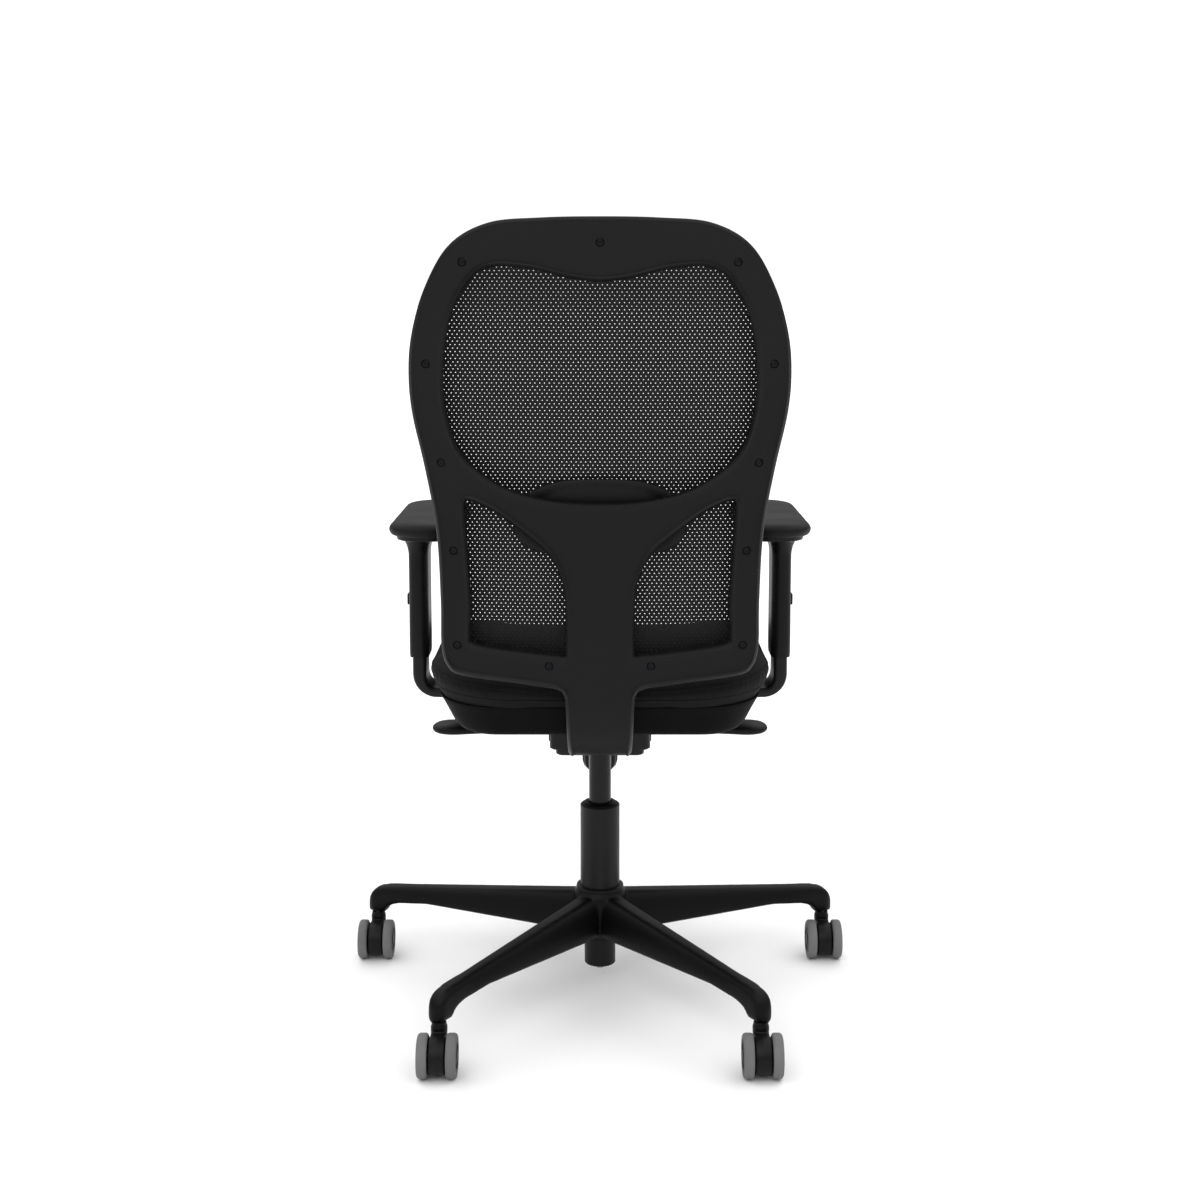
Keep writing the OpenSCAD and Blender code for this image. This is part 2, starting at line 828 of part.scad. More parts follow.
module back_screws() {
    color([0.3, 0.3, 0.32])
        screw_axes() {
            cylinder(r = screw_head_radius, h = screw_head);
            translate([0, 0, screw_head - 0.5])
                cylinder(r = screw_radius, h = back_thickness);
        }
}

module bracket_bolt_axes(radius) {
    for (z = [bend_z + 12, bend_z + 28])
        bar_y(radius, 0, bend_y + bend_radius - spine_thickness - bar_thickness + 1, bend_y + bend_radius - 3, z);
}

// Steel bar from the tilt shaft under the seat and up inside the spine, with two eyes on the shaft.
module back_bracket() {
    low_z = bend_z - bar_radius;
    eye = 10;
    color([0.3, 0.3, 0.32])
        difference() {
            union() {
                across_x(-bar_half_width, bar_half_width)
                    polygon(concat(
                        [[tilt_y + 16, low_z], [tilt_y + 16, low_z + bar_thickness]],
                        arc(bend_y, bend_z, bar_radius - bar_thickness, -90, 0, 12),
                        [[bend_y + bar_radius - bar_thickness, bar_top_z], [bend_y + bar_radius, bar_top_z]],
                        arc(bend_y, bend_z, bar_radius, 0, -90, 12)
                    ));
                for (s = [-1, 1])
                    translate([s * (bar_half_width - 1), 0, 0]) {
                        bar_x(eye, -5, 5, tilt_y, tilt_z);
                        across_x(-5, 5)
                            polygon([[tilt_y, tilt_z - 8], [tilt_y + 30, low_z + 0.5],
                                     [tilt_y + 30, low_z + 6], [tilt_y + 12, low_z + 6], [tilt_y, tilt_z + 9]]);
                    }
            }
            bar_x(tilt_radius + fit, -mech_half_width, mech_half_width, tilt_y, tilt_z);
            bracket_bolt_axes(bolt_radius + fit);
        }
}

module bracket_bolts() {
    color([0.35, 0.35, 0.37])
        intersection() {
            bracket_bolt_axes(bolt_radius);
            block([-20, bend_y + bend_radius - spine_thickness - bar_thickness + 2, bend_z],
                  [20, bend_y + bend_radius - 3, bar_top_z]);
        }
}

module lumbar_carrier() {
    color([0.1, 0.1, 0.1])
        intersection() {
            back_slab(-mesh_offset + 9, -back_thickness - 0.9, back_wrap);
            block([-spine_half_width + 12, 100, lumbar_z - lumbar_carrier_half_height],
                  [spine_half_width - 12, 330, lumbar_z + lumbar_carrier_half_height]);
        }
}

module lumbar_pad() {
    front = mesh_offset - 3.6;
    color([0.09, 0.09, 0.09])
        intersection() {
            back_slab(-front, -front + lumbar_thickness, mesh_wrap);
            across_y(100, 330)
                rounded([-lumbar_half_width, lumbar_z - lumbar_half_height],
                        [lumbar_half_width, lumbar_z + lumbar_half_height], 40);
        }
}

// ---- casters ----

module caster_housing(k) {
    color([0.1, 0.1, 0.1])
        at_caster(k)
            difference() {
                union() {
                    across_x(-hood_width / 2, hood_width / 2)
                        union() {
                            translate([caster_trail, axle_z])
                                circle(r = hood_radius);
                            block2d([-boss_radius + 2, axle_z - 4], [caster_trail, axle_z + hood_radius - 4]);
                        }
                    translate([0, 0, axle_z - 4])
                        cylinder(r = boss_radius, h = collar_z - axle_z + 4);
                }
                translate([0, 0, axle_z + 2])
                    cylinder(r = stem_radius + fit, h = collar_z);
                bar_x(axle_radius + fit, -hood_width, hood_width, caster_trail, axle_z);
            }
}

module caster_pins(k) {
    color([0.6, 0.6, 0.62])
        at_caster(k) {
            translate([0, 0, axle_z + 2.5])
                cylinder(r = stem_radius, h = arm_end_z - 15 - axle_z - 2.5);
            bar_x(axle_radius, -axle_half_length, axle_half_length, caster_trail, axle_z);
        }
}

// side is 1 for the wheel on the sitter's left and -1 for the right.
module caster_wheel(k, side) {
    inner = hood_width / 2 + wheel_gap;
    bevel = 1.5;
    color([0.55, 0.55, 0.56])
        at_caster(k)
            translate([side * inner, caster_trail, axle_z])
                rotate([0, side * 90, 0])
                    rotate_extrude()
                        polygon([
                            [axle_radius + fit, 0], [wheel_diameter / 2 - bevel, 0],
                            [wheel_diameter / 2, bevel], [wheel_diameter / 2, wheel_width - bevel],
                            [wheel_diameter / 2 - bevel, wheel_width], [axle_radius + fit, wheel_width]
                        ]);
}

base_star();
column_tube();
column_guide_bush();
thrust_bearing();
gas_rod();
column_clip();
gas_cylinder();
mechanism_housing();
tilt_spring();
tilt_shaft();
lever_pins();
seat_plate();
seat_bolts();
seat_pan();
seat_cushion();
valve_pin();
tension_knob();
height_lever();
height_lever_paddle();
tilt_lever();
tilt_lever_paddle();
on_left() arm_bracket();  // arm_bracket_left
on_right() arm_bracket();  // arm_bracket_right
on_left() arm_sleeve();  // arm_sleeve_left
on_right() arm_sleeve();  // arm_sleeve_right
on_left() arm_pad_plate();  // arm_pad_plate_left
on_right() arm_pad_plate();  // arm_pad_plate_right
on_left() arm_pad();  // arm_pad_left
on_right() arm_pad();  // arm_pad_right
on_left() arm_button();  // arm_button_left
on_right() arm_button();  // arm_button_right
back_frame();
mesh_carrier();
back_mesh();
back_screws();
back_bracket();
bracket_bolts();
lumbar_carrier();
lumbar_pad();
caster_housing(1);  // caster_1_housing
caster_pins(1);  // caster_1_pins
caster_wheel(1, 1);  // caster_1_wheel_left
caster_wheel(1, -1);  // caster_1_wheel_right
caster_housing(2);  // caster_2_housing
caster_pins(2);  // caster_2_pins
caster_wheel(2, 1);  // caster_2_wheel_left
caster_wheel(2, -1);  // caster_2_wheel_right
caster_housing(3);  // caster_3_housing
caster_pins(3);  // caster_3_pins
caster_wheel(3, 1);  // caster_3_wheel_left
caster_wheel(3, -1);  // caster_3_wheel_right
caster_housing(4);  // caster_4_housing
caster_pins(4);  // caster_4_pins
caster_wheel(4, 1);  // caster_4_wheel_left
caster_wheel(4, -1);  // caster_4_wheel_right
caster_housing(5);  // caster_5_housing
caster_pins(5);  // caster_5_pins
caster_wheel(5, 1);  // caster_5_wheel_left
caster_wheel(5, -1);  // caster_5_wheel_right
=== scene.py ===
"""Visual model of a mesh back swivel office chair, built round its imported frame.

Sizes inside the classes are millimetres, and meshes are written in metres. The sitter faces -Y.
"""

import json
import logging
import math
from dataclasses import dataclass, field
from enum import Enum
from typing import Callable, Iterable, Sequence

import bmesh
import bpy
import numpy as np
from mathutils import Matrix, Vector, geometry
from mathutils.bvhtree import BVHTree

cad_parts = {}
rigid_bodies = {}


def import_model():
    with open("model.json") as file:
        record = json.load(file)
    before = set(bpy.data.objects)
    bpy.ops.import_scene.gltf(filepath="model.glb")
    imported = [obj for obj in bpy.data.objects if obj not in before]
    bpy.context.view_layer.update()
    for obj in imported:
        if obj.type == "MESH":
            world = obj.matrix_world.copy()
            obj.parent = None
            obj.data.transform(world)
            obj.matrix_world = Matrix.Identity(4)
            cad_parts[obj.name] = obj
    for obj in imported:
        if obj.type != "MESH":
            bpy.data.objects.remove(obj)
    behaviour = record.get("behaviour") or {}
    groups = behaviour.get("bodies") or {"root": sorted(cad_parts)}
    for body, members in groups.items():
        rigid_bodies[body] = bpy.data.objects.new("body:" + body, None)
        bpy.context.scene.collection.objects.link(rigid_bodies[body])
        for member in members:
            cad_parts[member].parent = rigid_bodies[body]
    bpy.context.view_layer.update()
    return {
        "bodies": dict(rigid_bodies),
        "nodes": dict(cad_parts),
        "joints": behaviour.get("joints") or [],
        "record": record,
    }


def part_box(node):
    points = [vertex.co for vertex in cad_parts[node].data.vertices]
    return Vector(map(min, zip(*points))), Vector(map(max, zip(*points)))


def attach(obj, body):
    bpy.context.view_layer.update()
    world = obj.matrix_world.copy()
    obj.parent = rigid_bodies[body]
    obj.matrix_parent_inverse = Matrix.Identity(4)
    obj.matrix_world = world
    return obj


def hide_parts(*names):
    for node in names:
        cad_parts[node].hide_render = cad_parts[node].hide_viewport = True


LOG = logging.getLogger("chair")
MM = 0.001
SMOOTH_ANGLE = math.radians(38)
Ring = np.ndarray


class Slot(Enum):
    """The record's material slots."""

    PLASTIC = "black_plastic"
    STEEL = "black_steel"
    CYLINDER = "black_cylinder"
    BRIGHT = "bright_steel"
    SCREW = "dark_screws"
    MESH = "mesh_fabric"
    SEAT = "seat_fabric"
    PAD = "soft_pad"
    TREAD = "wheel_tread"


class Side(Enum):
    """The sitter's left and right, as the sign of X."""

    LEFT = 1
    RIGHT = -1


# ---------------------------------------------------------------- shader maths


class Value:
    """A shader socket that takes part in Python arithmetic."""

    def __init__(self, paint: "Paint", socket: bpy.types.NodeSocket) -> None:
        """Wraps one output socket of a paint's tree.

        Args:
            paint: The paint whose tree holds the socket.
            socket: The output socket.
        """
        self.paint = paint
        self.socket = socket

    def _math(self, operation: str, first: object, second: object = 0.0) -> "Value":
        """Adds a Math node on two values or numbers.

        Args:
            operation: The operation, by its node name.
            first: The first value or number.
            second: The second one, for operations on two.

        Returns:
            The node's result.
        """
        return self.paint.add("ShaderNodeMath", [first, second], operation=operation)

    def __add__(self, other: object) -> "Value":
        """Sum.

        Args:
            other: The value or number on the other side.

        Returns:
            The sum.
        """
        return self._math("ADD", self, other)

    __radd__ = __add__

    def __sub__(self, other: object) -> "Value":
        """Difference.

        Args:
            other: The value or number on the other side.

        Returns:
            The difference.
        """
        return self._math("SUBTRACT", self, other)

    def __rsub__(self, other: object) -> "Value":
        """Difference from a number.

        Args:
            other: The value or number on the other side.

        Returns:
            The difference.
        """
        return self._math("SUBTRACT", other, self)

    def __mul__(self, other: object) -> "Value":
        """Product.

        Args:
            other: The value or number on the other side.

        Returns:
            The product.
        """
        return self._math("MULTIPLY", self, other)

    __rmul__ = __mul__

    def sine(self) -> "Value":
        """Sine of the value in radians.

        Returns:
            A value from -1 to 1.
        """
        return self._math("SINE", self)


class Paint:
    """A material's node tree with one Principled shader."""

    def __init__(self, name: str, colour: Sequence[float], roughness: float, specular: float) -> None:
        """Makes the material.

        Args:
            name: The material's name.
            colour: Linear red, green and blue.
            roughness: Roughness where nothing varies it.
            specular: Specular level, the same all over.
        """
        self.material = bpy.data.materials.new(name)
        self.material.use_nodes = True
        self.tree = self.material.node_tree
        self.shader = next(n for n in self.tree.nodes if n.type == "BSDF_PRINCIPLED")
        self.shader.inputs["Base Color"].default_value = (*colour, 1)
        self.shader.inputs["Roughness"].default_value = roughness
        self.shader.inputs["Specular IOR Level"].default_value = specular
        self.place = self.add("ShaderNodeTexCoord", output="Object")
        parts = self.node("ShaderNodeSeparateXYZ", {"Vector": self.place})
        self.x, self.y, self.z = (Value(self, s) for s in parts.outputs)

    def node(self, kind: str, inputs: dict | list | None = None, **settings: object) -> bpy.types.Node:
        """Adds a node.

        Args:
            kind: The node's type.
            inputs: Values or numbers by socket name or in socket order.
            **settings: Properties of the node, set first.

        Returns:
            The node.
        """
        made = self.tree.nodes.new(kind)
        for key, setting in settings.items():
            setattr(made, key, setting)
        pairs = inputs.items() if isinstance(inputs, dict) else enumerate(inputs or [])
        for key, given in pairs:
            if isinstance(given, Value):
                self.tree.links.new(given.socket, made.inputs[key])
            else:
                made.inputs[key].default_value = given
        return made

    def add(
        self, kind: str, inputs: dict | list | None = None, output: str | int = 0, **settings: object
    ) -> Value:
        """Adds a node and returns one of its outputs as a Value.

        Args:
            kind: The node's type.
            inputs: Values or numbers by socket name or in socket order.
            output: The output to hand back.
            **settings: Properties of the node, set first.

        Returns:
            The chosen output.
        """
        return Value(self, self.node(kind, inputs, **settings).outputs[output])

    def noise(self, scale: float, detail: float = 2.0) -> Value:
        """Noise from 0 to 1 with the given scale per metre.

        Args:
            scale: Features per metre.
            detail: Octaves of finer noise.

        Returns:
            The noise.
        """
        return self.add("ShaderNodeTexNoise", {"Vector": self.place, "Scale": scale, "Detail": detail})

    def ramp(self, value: Value, low: float, high: float, start: float, end: float) -> Value:
        """Maps a value's range onto another, with clamped ends.

        Args:
            value: The value to map.
            low: Where the ramp starts.
            high: Where it ends.
            start: The result at the start.
            end: The result at the end.

        Returns:
            The mapped value.
        """
        return self.add("ShaderNodeMapRange", [value, low, high, start, end])

    def colours(self, factor: Value, dark: Sequence[float], light: Sequence[float]) -> None:
        """Blends two colours into the base colour.

        Args:
            factor: The blend from 0 to 1.
            dark: Tone at 0.
            light: Tone at 1.
        """
        mix = self.node("ShaderNodeMix", data_type="RGBA")
        self.tree.links.new(factor.socket, mix.inputs[0])
        mix.inputs[6].default_value = (*dark, 1)
        mix.inputs[7].default_value = (*light, 1)
        self.tree.links.new(mix.outputs[2], self.shader.inputs["Base Color"])

    def rough(self, value: Value) -> None:
        """Feeds the roughness.

        Args:
            value: The roughness from 0 to 1.
        """
        self.tree.links.new(value.socket, self.shader.inputs["Roughness"])

    def bump(self, height: Value, depth: float, strength: float = 1.0) -> None:
        """Feeds a bump of the given depth in metres to the normal.

        Args:
            height: The height from 0 to 1.
            depth: Metres between 0 and 1.
            strength: Share of the bump that shows.
        """
        made = self.add(
            "ShaderNodeBump", {"Strength": strength, "Distance": depth, "Height": height}, output="Normal"
        )
        self.tree.links.new(made.socket, self.shader.inputs["Normal"])


@dataclass(frozen=True)
class MouldedPlastic:
    """Injection moulded plastic with a fine spark-eroded grain and faint flow marks."""

    name: str
    tone: float
    roughness: float = 0.46
    grain: float = 1500.0
    depth: float = 0.00005
    specular: float = 0.16

    def paint(self) -> bpy.types.Material:
        """Builds the material.

        Returns:
            The material.
        """
        t = self.tone
        p = Paint(self.name, (t, t, t * 1.03), self.roughness, self.specular)
        cloud = p.noise(9.0, 3.0)
        grain = p.noise(self.grain, 2.0)
        pores = p.add(
            "ShaderNodeTexVoronoi", {"Vector": p.place, "Scale": self.grain * 0.6}, output="Distance"
        )
        p.colours(
            p.ramp(cloud, 0.3, 0.7, 0.0, 1.0), (t * 0.82, t * 0.82, t * 0.85), (t * 1.2, t * 1.2, t * 1.23)
        )
        p.rough(p.ramp(cloud, 0.25, 0.75, self.roughness - 0.05, self.roughness + 0.07) + grain * 0.05)
        p.bump(grain * 0.6 + pores * 0.4, self.depth)
        return p.material


@dataclass(frozen=True)
class PaintedMetal:
    """Powder coated or lacquered steel with a slight orange peel."""

    name: str
    tone: float
    roughness: float
    peel: float = 0.00004

    def paint(self) -> bpy.types.Material:
        """Builds the material.

        Returns:
            The material.
        """
        t = self.tone
        p = Paint(self.name, (t, t, t * 1.04), self.roughness, 0.2)
        peel = p.noise(420.0, 1.0)
        smear = p.noise(26.0, 4.0)
        p.colours(p.ramp(smear, 0.35, 0.7, 0.0, 1.0), (t * 0.85,) * 3, (t * 1.18,) * 3)
        p.rough(p.ramp(smear, 0.3, 0.75, self.roughness - 0.06, self.roughness + 0.08))
        p.bump(peel, self.peel)
        return p.material


@dataclass(frozen=True)
class BareMetal:
    """Zinc plated or blackened steel with fine turning lines."""

    name: str
    colour: tuple[float, float, float]
    roughness: float = 0.32

    def paint(self) -> bpy.types.Material:
        """Builds the material.

        Returns:
            The material.
        """
        p = Paint(self.name, self.colour, self.roughness, 0.5)
        p.shader.inputs["Metallic"].default_value = 1.0
        lines = p.add(
            "ShaderNodeTexNoise",
            {
                "Vector": p.add("ShaderNodeMapping", {"Vector": p.place, "Scale": (60, 60, 2600)}),
                "Scale": 1.0, "Detail": 2.0
            },
        )
        p.rough(p.ramp(lines, 0.3, 0.7, self.roughness - 0.08, self.roughness + 0.1))
        p.bump(lines, 0.00002)
        return p.material


@dataclass(frozen=True)
class WovenCloth:
    """Plain weave upholstery: crossing threads, a little fuzz and a soft sheen."""

    name: str
    dark: float
    light: float
    threads: float = 1100.0
    depth: float = 0.00035

    def paint(self) -> bpy.types.Material:
        """Builds the material.

        Returns:
            The material.
        """
        p = Paint(self.name, (self.dark,) * 3, 0.92, 0.08)
        turn = 2 * math.pi * self.threads / 2
        warp = (p.x * turn + (p.z + p.y * 0.02) * 40).sine()
        weft = ((p.y + p.z * 0.9) * turn).sine()
        weave = p.ramp(warp * weft, -1.0, 1.0, 0.0, 1.0)
        fuzz = p.noise(2600.0, 2.0)
        cloud = p.noise(14.0, 3.0)
        p.colours(
            p.ramp(weave * 0.5 + fuzz * 0.3 + cloud * 0.4, 0.3, 0.95, 0.0, 1.0),
            (self.dark, self.dark, self.dark * 1.04),
            (self.light, self.light, self.light * 1.05),
        )
        p.bump(weave * 0.8 + fuzz * 0.3, self.depth)
        p.shader.inputs["Sheen Weight"].default_value = 0.03
        p.shader.inputs["Sheen Roughness"].default_value = 0.5
        return p.material


@dataclass(frozen=True)
class KnitYarn:
    """Spun polyester yarn of the open knit: fine twist lines and a dull gloss."""

    name: str
    tone: float

    def paint(self) -> bpy.types.Material:
        """Builds the material.

        Returns:
            The material.
        """
        t = self.tone
        p = Paint(self.name, (t,) * 3, 0.6, 0.2)
        twist = ((p.x + p.z * 0.7) * 5200.0).sine()
        fuzz = p.noise(3200.0, 2.0)
        p.colours(p.ramp(twist * 0.25 + fuzz, 0.2, 0.9, 0.0, 1.0), (t * 0.6,) * 3, (t * 1.5,) * 3)
        p.rough(p.ramp(fuzz, 0.3, 0.7, 0.52, 0.72))
        p.bump(twist * 0.4 + fuzz * 0.6, 0.00012)
        return p.material


@dataclass(frozen=True)
class SoftSkin:
    """Soft polyurethane skin with a leather-like pebble, for pads and treads."""

    name: str
    tone: float
    roughness: float = 0.6
    pebble: float = 900.0
    depth: float = 0.00009

    def paint(self) -> bpy.types.Material:
        """Builds the material.

        Returns:
            The material.
        """
        t = self.tone
        p = Paint(self.name, (t,) * 3, self.roughness, 0.16)
        pebble = p.add("ShaderNodeTexVoronoi", {"Vector": p.place, "Scale": self.pebble}, output="Distance")
        rub = p.noise(18.0, 4.0)
        p.colours(p.ramp(rub, 0.35, 0.7, 0.0, 1.0), (t * 0.86,) * 3, (t * 1.12,) * 3)
        p.rough(p.ramp(rub, 0.3, 0.7, self.roughness - 0.08, self.roughness + 0.08))
        p.bump(pebble, self.depth)
        return p.material


UNDERSIDE = MouldedPlastic("matt_shell_plastic", 0.0024, 0.62, specular=0.06)
CASTING = MouldedPlastic("filled_nylon", 0.0016, 0.42, 900.0, specular=0.13)
FINISHES = {
    Slot.PLASTIC: MouldedPlastic("moulded_black_plastic", 0.0034, 0.4),
    Slot.STEEL: PaintedMetal("black_powder_coat", 0.005, 0.42),
    Slot.CYLINDER: PaintedMetal("black_cylinder_lacquer", 0.005, 0.3, 0.00001),
    Slot.BRIGHT: BareMetal("zinc_plated_steel", (0.5, 0.5, 0.52)),
    Slot.SCREW: BareMetal("blackened_screw_steel", (0.016, 0.016, 0.018), 0.42),
    Slot.MESH: KnitYarn("black_knit_yarn", 0.006),
    Slot.SEAT: WovenCloth("black_seat_cloth", 0.0035, 0.012),
    Slot.PAD: SoftSkin("soft_black_pad", 0.005, 0.55),
    Slot.TREAD: SoftSkin("grey_tread", 0.15, 0.62, 1300.0, 0.00004),
}


# ---------------------------------------------------------------- shapes


def extent(node: str) -> tuple[np.ndarray, np.ndarray]:
    """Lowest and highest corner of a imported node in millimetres.

    Args:
        node: The node's name.

    Returns:
        The lowest and the highest corner.
    """
    low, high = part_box(node)
    return np.array(low) / MM, np.array(high) / MM


def ease(value: float | np.ndarray, low: float, high: float) -> float | np.ndarray:
    """Smooth step from 0 at low to 1 at high.

    Args:
        value: Where to read the step.
        low: Where it starts.
        high: Where it ends.

    Returns:
        Heights from 0 to 1.
    """
    t = np.clip((value - low) / (high - low), 0, 1)
    return t * t * (3 - 2 * t)


def curve_through(points: Sequence[Sequence[float]], steps: int = 8, closed: bool = False) -> np.ndarray:
    """Catmull-Rom curve through control points.

    Args:
        points: The control points.
        steps: Pieces between two control points.
        closed: Whether the curve returns to its start.

    Returns:
        The curve's points.
    """
    given = np.array(points, float)
    count = len(given)
    out = []
    for i in range(count if closed else count - 1):
        pick = (lambda k: given[k % count]) if closed else (lambda k: given[min(max(k, 0), count - 1)])
        a, b, c, d = (pick(i + k) for k in (-1, 0, 1, 2))
        for t in np.arange(steps) / steps:
            bend, twist = 2 * a - 5 * b + 4 * c - d, 3 * b - a - 3 * c + d
            out.append(0.5 * (2 * b + (c - a) * t + bend * t**2 + twist * t**3))
    if not closed:
        out.append(given[-1])
    return np.array(out)


def half_curve(points: Sequence[Sequence[float]], steps: int = 8, ends: bool = True) -> np.ndarray:
    """The right half of a mirrored curve, level where it crosses the middle.

    Args:
        points: Control points from the middle outwards.
        steps: Pieces between two control points.
        ends: Whether the last point lies on the middle too.

    Returns:
        The half's points.
    """
    mirror = lambda p: (-p[0], p[1])
    full = [mirror(points[1]), *points] + ([mirror(points[-2])] if ends else [])
    made = curve_through(full, steps)
    return made[steps : len(made) - steps if ends else None]


def evenly(points: np.ndarray, spacing: float) -> np.ndarray:
    """Points at an even spacing along a closed outline.

    Args:
        points: The outline.
        spacing: Distance between points.

    Returns:
        The new points.
    """
    loop = np.vstack([points, points[:1]])
    run = np.concatenate([[0], np.cumsum(np.linalg.norm(np.diff(loop, axis=0), axis=1))])
    places = np.linspace(0, run[-1], max(8, int(run[-1] / spacing)) + 1)[:-1]
    return np.stack([np.interp(places, run, loop[:, k]) for k in range(loop.shape[1])], axis=1)


def rounded_ring(half_x: float, half_y: float, radius: float, steps: int = 8) -> Ring:
    """A rounded rectangle about the origin as 2D points.

    Args:
        half_x: Half the width.
        half_y: Half the depth.
        radius: Corner radius.
        steps: Points in each corner.

    Returns:
        The outline.
    """
    radius = min(radius, half_x - 0.01, half_y - 0.01)
    corners = [(1, 1, 0), (-1, 1, 90), (-1, -1, 180), (1, -1, 270)]
    out = []
    for sx, sy, start in corners:
        for angle in np.radians(np.linspace(start, start + 90, steps)):
            x = sx * (half_x - radius) + radius * math.cos(angle)
            y = sy * (half_y - radius) + radius * math.sin(angle)
            out.append((x, y))
    return np.array(out)


def super_ring(half_x: float, half_y: float, power: float = 2.0, count: int = 28) -> Ring:
    """A superellipse about the origin as 2D points; power 2 is an ellipse.

    Args:
        half_x: Half the width.
        half_y: Half the depth.
        power: Squareness.
        count: Points round it.

    Returns:
        The outline.
    """
    a = np.linspace(0, 2 * np.pi, count, endpoint=False)
    c, s = np.cos(a), np.sin(a)
    x = half_x * np.sign(c) * np.abs(c) ** (2 / power)
    y = half_y * np.sign(s) * np.abs(s) ** (2 / power)
    return np.stack([x, y], axis=1)


@dataclass
class Shape:
    """Points in millimetres and the faces between them."""

    points: np.ndarray
    faces: list[tuple[int, ...]]

    @classmethod
    def loft(cls, rings: Sequence[Ring], closed: bool = False) -> "Shape":
        """A skin over rings of equal length, with capped ends unless it is closed.

        Args:
            rings: The rings, in order.
            closed: Whether the last ring joins the first.

        Returns:
            The shape.
        """
        n, m = len(rings[0]), len(rings)
        faces = []
        for i in range(m if closed else m - 1):
            a, b = i * n, (i + 1) % m * n
            faces += [(a + j, a + (j + 1) % n, b + (j + 1) % n, b + j) for j in range(n)]
        if not closed:
            faces += [tuple(reversed(range(n))), tuple((m - 1) * n + j for j in range(n))]
        return cls(np.vstack(rings), faces)

    @classmethod
    def stack(cls, layers: Iterable[tuple[float, Ring]], centre: Sequence[float] = (0, 0)) -> "Shape":
        """A loft of flat rings at heights, round a centre in X and Y.

        Args:
            layers: Heights with their outlines.
            centre: Where the outlines are centred.

        Returns:
            The shape.
        """
        return cls.loft(
            [np.column_stack([ring + np.array(centre), np.full(len(ring), z)]) for z, ring in layers]
        )

    @classmethod
    def turned(cls, profile: Sequence[Sequence[float]], count: int = 48) -> "Shape":
        """A profile of (radius, height) turned round Z; it closes at the axis or on itself.

        Args:
            profile: Radii with their heights.
            count: Points round it.

        Returns:
            The shape.
        """
        a = np.linspace(0, 2 * np.pi, count, endpoint=False)
        rings = [np.stack([r * np.cos(a), r * np.sin(a), np.full(count, z)], axis=1) for r, z in profile]
        whole = profile[0][0] > 0.2 and profile[-1][0] > 0.2
        return cls.loft(rings, closed=whole)

    @classmethod
    def sweep(cls, path: np.ndarray, side: Sequence[float], sections: Sequence[Ring]) -> "Shape":
        """Sections carried along a path, with their first axis along one fixed side direction.

        Args:
            path: The points to follow.
            side: Direction of the sections' first axis.
            sections: One outline for each point.

        Returns:
            The shape.
        """
        across = np.array(side, float)
        tangents = np.gradient(path, axis=0)
        tangents /= np.linalg.norm(tangents, axis=1)[:, None]
        rings = []
        for p, t, section in zip(path, tangents, sections):
            up = np.cross(t, across)
            up /= np.linalg.norm(up)
            rings.append(p + section[:, :1] * across + section[:, 1:2] * up)
        return cls.loft(rings)

    @classmethod
    def cord(cls, path: np.ndarray, radius: float, sides: int = 8, closed: bool = True) -> "Shape":
        """A round bead along a path.

        Args:
            path: The points to follow.
            radius: The bead's radius.
            sides: Points round it.
            closed: Whether it joins up.

        Returns:
            The shape.
        """
        shift = np.roll(path, -1, axis=0) - np.roll(path, 1, axis=0) if closed else np.gradient(path, axis=0)
        tangents = shift / np.linalg.norm(shift, axis=1)[:, None]
        normal = np.cross(tangents[0], (0.13, 0.2, 1.0))
        rings = []
        for p, t in zip(path, tangents):
            normal = normal - t * normal.dot(t)
            normal /= np.linalg.norm(normal)
            other = np.cross(t, normal)
            a = np.linspace(0, 2 * np.pi, sides, endpoint=False)[:, None]
            rings.append(p + radius * (np.cos(a) * normal + np.sin(a) * other))
        return cls.loft(rings, closed)

    def moved(self, x: float = 0, y: float = 0, z: float = 0) -> "Shape":
        """A copy somewhere else.

        Args:
            x: Step along X.
            y: Step along Y.
            z: Step along Z.

        Returns:
            The copy.
        """
        return Shape(self.points + np.array([x, y, z]), self.faces)

    def spun(self, degrees: float) -> "Shape":
        """A copy turned round Z.

        Args:
            degrees: The turn, anticlockwise from above.

        Returns:
            The copy.
        """
        a = math.radians(degrees)
        turn = np.array([[math.cos(a), -math.sin(a), 0], [math.sin(a), math.cos(a), 0], [0, 0, 1]])
        return Shape(self.points @ turn.T, self.faces)

    def onto_x(self, sign: int) -> "Shape":
        """A copy whose +Z becomes +X or -X.

        Args:
            sign: 1 for +X, -1 for -X.

        Returns:
            The copy.
        """
        x, y, z = self.points.T
        return Shape(np.stack([sign * z, y, x], axis=1), self.faces)

    def flipped(self, side: Side) -> "Shape":
        """A copy mirrored in X for the right side.

        Args:
            side: The side it is for.

        Returns:
            The copy.
        """
        return Shape(self.points * np.array([side.value, 1, 1]), self.faces)

    def bent(self, rule: Callable[[np.ndarray], np.ndarray]) -> "Shape":
        """A copy whose points went through a rule.

        Args:
            rule: Takes points and gives them back moved.

        Returns:
            The copy.
        """
        return Shape(rule(self.points.copy()), self.faces)

    @staticmethod
    def joined(shapes: Sequence["Shape"]) -> "Shape":
        """Several shapes as one.

        Args:
            shapes: The shapes, which stay apart.

        Returns:
            The whole.
        """
        points, faces, start = [], [], 0
        for s in shapes:
            points.append(s.points)
            faces += [tuple(i + start for i in f) for f in s.faces]
            start += len(s.points)
        return Shape(np.vstack(points), faces)


